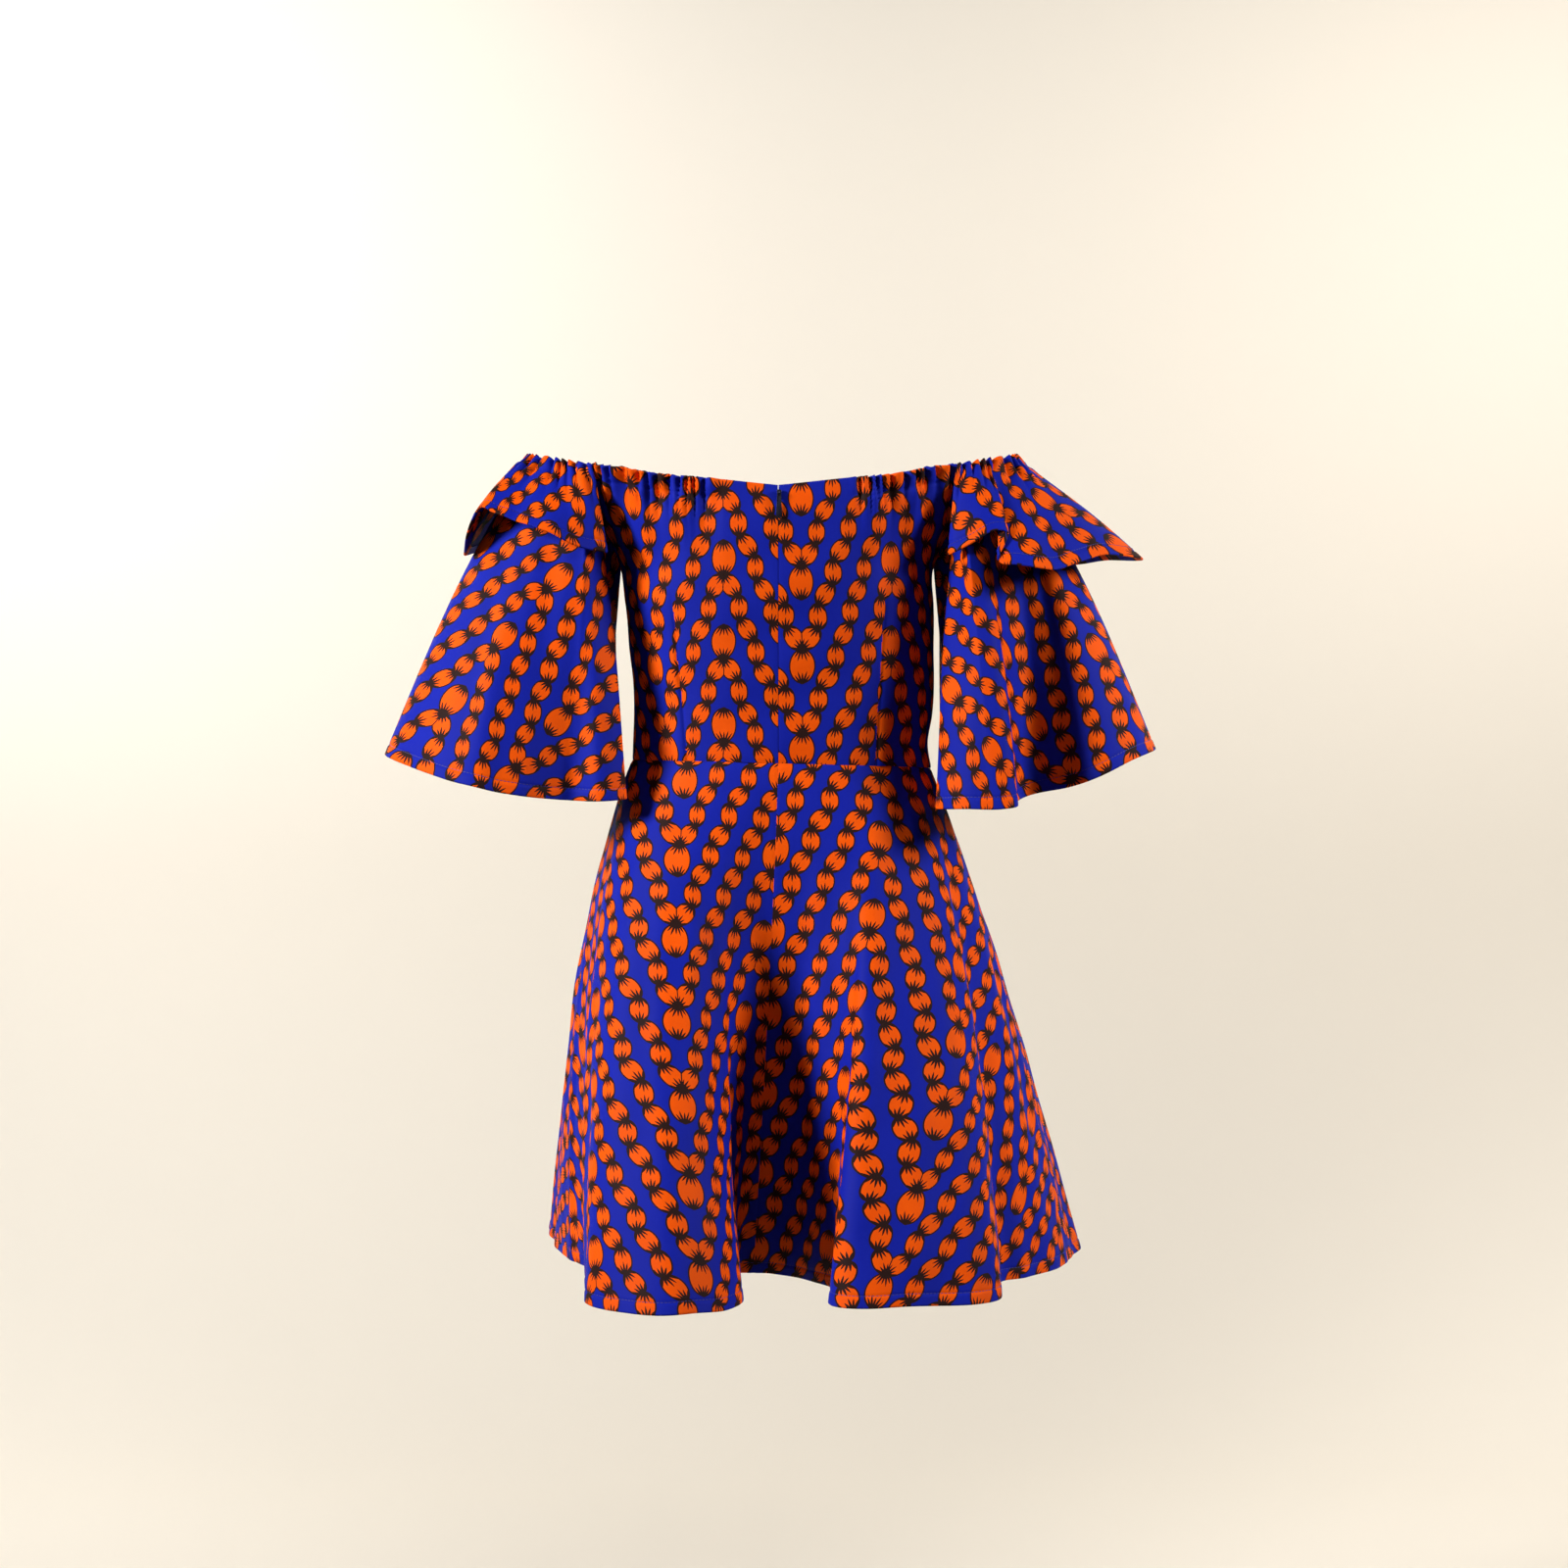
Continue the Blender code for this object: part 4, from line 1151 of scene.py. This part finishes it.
finish_piece(slider, "zip_slider_body", 0.0003)
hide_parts("zip_slider")
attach(slider, "dress")

bpy.ops.object.select_all(action="DESELECT")
bpy.ops.mesh.primitive_torus_add(
    location=PIN_AT,
    rotation=(0, math.radians(90), 0),
    major_radius=BRIDGE_RADIUS,
    minor_radius=BRIDGE_WIRE,
    major_segments=28,
    minor_segments=10,
)
bridge = bpy.context.object
bpy.ops.object.mode_set(mode="EDIT")
bpy.ops.mesh.select_all(action="SELECT")
bpy.ops.transform.resize(value=(1.7, 1.0, 1.0), center_override=PIN_AT)
bpy.ops.object.mode_set(mode="OBJECT")
finish_piece(bridge, "zip_slider_bridge", 0.00002)
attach(bridge, "dress")

bpy.ops.object.select_all(action="DESELECT")
bpy.ops.mesh.primitive_circle_add(vertices=PULL_POINTS, radius=1.0, fill_type="NOTHING")
pull = bpy.context.object
bpy.ops.object.mode_set(mode="EDIT")
bpy.ops.mesh.primitive_circle_add(vertices=PULL_POINTS, radius=0.5, fill_type="NOTHING")
bpy.ops.mesh.select_all(action="SELECT")
bpy.ops.mesh.bridge_edge_loops()
bpy.ops.object.mode_set(mode="OBJECT")
for corner in pull.data.vertices:
    turn = math.atan2(corner.co.x, corner.co.y)
    down = 0.5 - 0.5 * math.cos(turn)
    if corner.co.xy.length > 0.75:
        half = float(through(PULL_OUTLINE, down)[0])
        wide = math.copysign(half, turn) if 0 < abs(turn) < math.pi else 0.0
        fall = PULL_TOP + (PULL_FOOT - PULL_TOP) * down
    else:
        wide = PULL_HOLE[0] * math.copysign(abs(math.sin(turn)) ** 0.6, turn)
        fall = PULL_HOLE[1] + (PULL_HOLE[2] - PULL_HOLE[1]) * down
    corner.co = (PIN_AT[0] + wide, PIN_AT[1] - PULL_THICK / 2, PIN_AT[2] + fall)
bpy.ops.object.mode_set(mode="EDIT")
bpy.ops.mesh.select_all(action="SELECT")
bpy.ops.mesh.extrude_region_move(TRANSFORM_OT_translate={"value": (0, PULL_THICK, 0)})
bpy.ops.mesh.select_all(action="SELECT")
bpy.ops.mesh.normals_make_consistent(inside=False)
bpy.ops.object.mode_set(mode="OBJECT")
finish_piece(pull, "zip_pull", 0.0002)
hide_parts("zip_pull_tab")
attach(pull, "pull")

# The studio: a pale cream sweep, a broad soft key from the camera's left and
# weaker fills, with the camera level with the hips and square to the back.
CAMERA_AT = (-0.005, 2.6, -0.2816)
CAMERA_LENS = 66.48
SPOT_SPREAD = 34.0
SPOT_BLEND = 0.6
SWEEP_HALF = 7.0
SWEEP_FLOOR = -1.30
SWEEP_ROUND = 0.90
SWEEP_BEND = -1.6
SWEEP_STEPS = 12
camera_data = bpy.data.cameras.new("camera")
camera_data.sensor_width = 36.0
camera_data.lens = CAMERA_LENS
camera = bpy.data.objects.new("camera", camera_data)
camera.location = CAMERA_AT
camera.rotation_euler = (math.radians(90), 0, math.radians(180))
bpy.context.scene.collection.objects.link(camera)
bpy.context.scene.camera = camera


def aimed_light(name, kind, place, aim, size, watts, colour):
    data = bpy.data.lights.new(name, kind)
    data.energy = watts
    data.color = colour
    if kind == "SPOT":
        data.shadow_soft_size = size
        data.spot_size = math.radians(SPOT_SPREAD)
        data.spot_blend = SPOT_BLEND
    else:
        data.size = size
    lamp = bpy.data.objects.new(name, data)
    lamp.location = place
    run = np.array(aim) - np.array(place)
    flat_run = math.hypot(run[0], run[1])
    lamp.rotation_euler = (
        math.atan2(flat_run, -run[2]), 0, math.atan2(run[1], run[0]) - math.pi / 2
    )
    bpy.context.scene.collection.objects.link(lamp)


MIDDLE = (0, 0, -0.33)
WARM = (1.0, 0.98, 0.95)
CREAM = (0.88, 0.83, 0.74, 1.0)
aimed_light("key", "SPOT", (2.5, 1.35, 0.75), MIDDLE, 0.40, 545, WARM)
aimed_light("side", "SPOT", (-2.45, 0.95, 0.85), MIDDLE, 0.40, 310, WARM)
aimed_light("fill", "SPOT", (0.5, 3.0, 0.6), MIDDLE, 0.60, 17, WARM)
aimed_light("wall_left", "AREA", (1.6, -0.9, 0.9), (0.9, -2.5, 0.1), 1.2, 48, (1.0, 0.99, 0.975))
aimed_light("wall_right", "AREA", (-1.6, -0.9, 0.9), (-0.9, -2.5, -0.2), 1.2, 32, (1.0, 0.96, 0.91))

sweep = bpy.data.meshes.new("sweep")
profile = [(6.0, SWEEP_FLOOR), (SWEEP_BEND, SWEEP_FLOOR)]
for step in range(1, SWEEP_STEPS + 1):
    bend = math.radians(90 * step / SWEEP_STEPS)
    back = SWEEP_BEND - SWEEP_ROUND * math.sin(bend)
    profile.append((back, SWEEP_FLOOR + SWEEP_ROUND * (1 - math.cos(bend))))
profile.append((SWEEP_BEND - SWEEP_ROUND, 4.0))
corners = [(x, y, z) for y, z in profile for x in (-SWEEP_HALF, SWEEP_HALF)]
strips = [(2 * k, 2 * k + 1, 2 * k + 3, 2 * k + 2) for k in range(len(profile) - 1)]
sweep.from_pydata(corners, [], strips)
sweep.polygons.foreach_set("use_smooth", [True] * len(sweep.polygons))
floor = bpy.data.objects.new("cream_sweep", sweep)
bpy.context.scene.collection.objects.link(floor)
paper, paper_shader = new_material("cream paper")
paper_shader.inputs["Base Color"].default_value = CREAM
paper_shader.inputs["Roughness"].default_value = 0.9
sweep.materials.append(paper)

# The room lights the dress only faintly, and what shows past the paper is pale.
world = bpy.data.worlds.new("studio")
world.use_nodes = True
room = world.node_tree
glow = room.nodes["Background"]
glow.inputs[0].default_value = (1.0, 0.96, 0.90, 1.0)
glow.inputs[1].default_value = 0.03
backdrop = room.nodes.new("ShaderNodeBackground")
backdrop.inputs[0].default_value = CREAM
seen = room.nodes.new("ShaderNodeLightPath")
either = room.nodes.new("ShaderNodeMixShader")
room.links.new(seen.outputs["Is Camera Ray"], either.inputs[0])
room.links.new(glow.outputs[0], either.inputs[1])
room.links.new(backdrop.outputs[0], either.inputs[2])
room.links.new(either.outputs[0], room.nodes["World Output"].inputs[0])
bpy.context.scene.world = world
bpy.context.scene.view_settings.view_transform = "Standard"
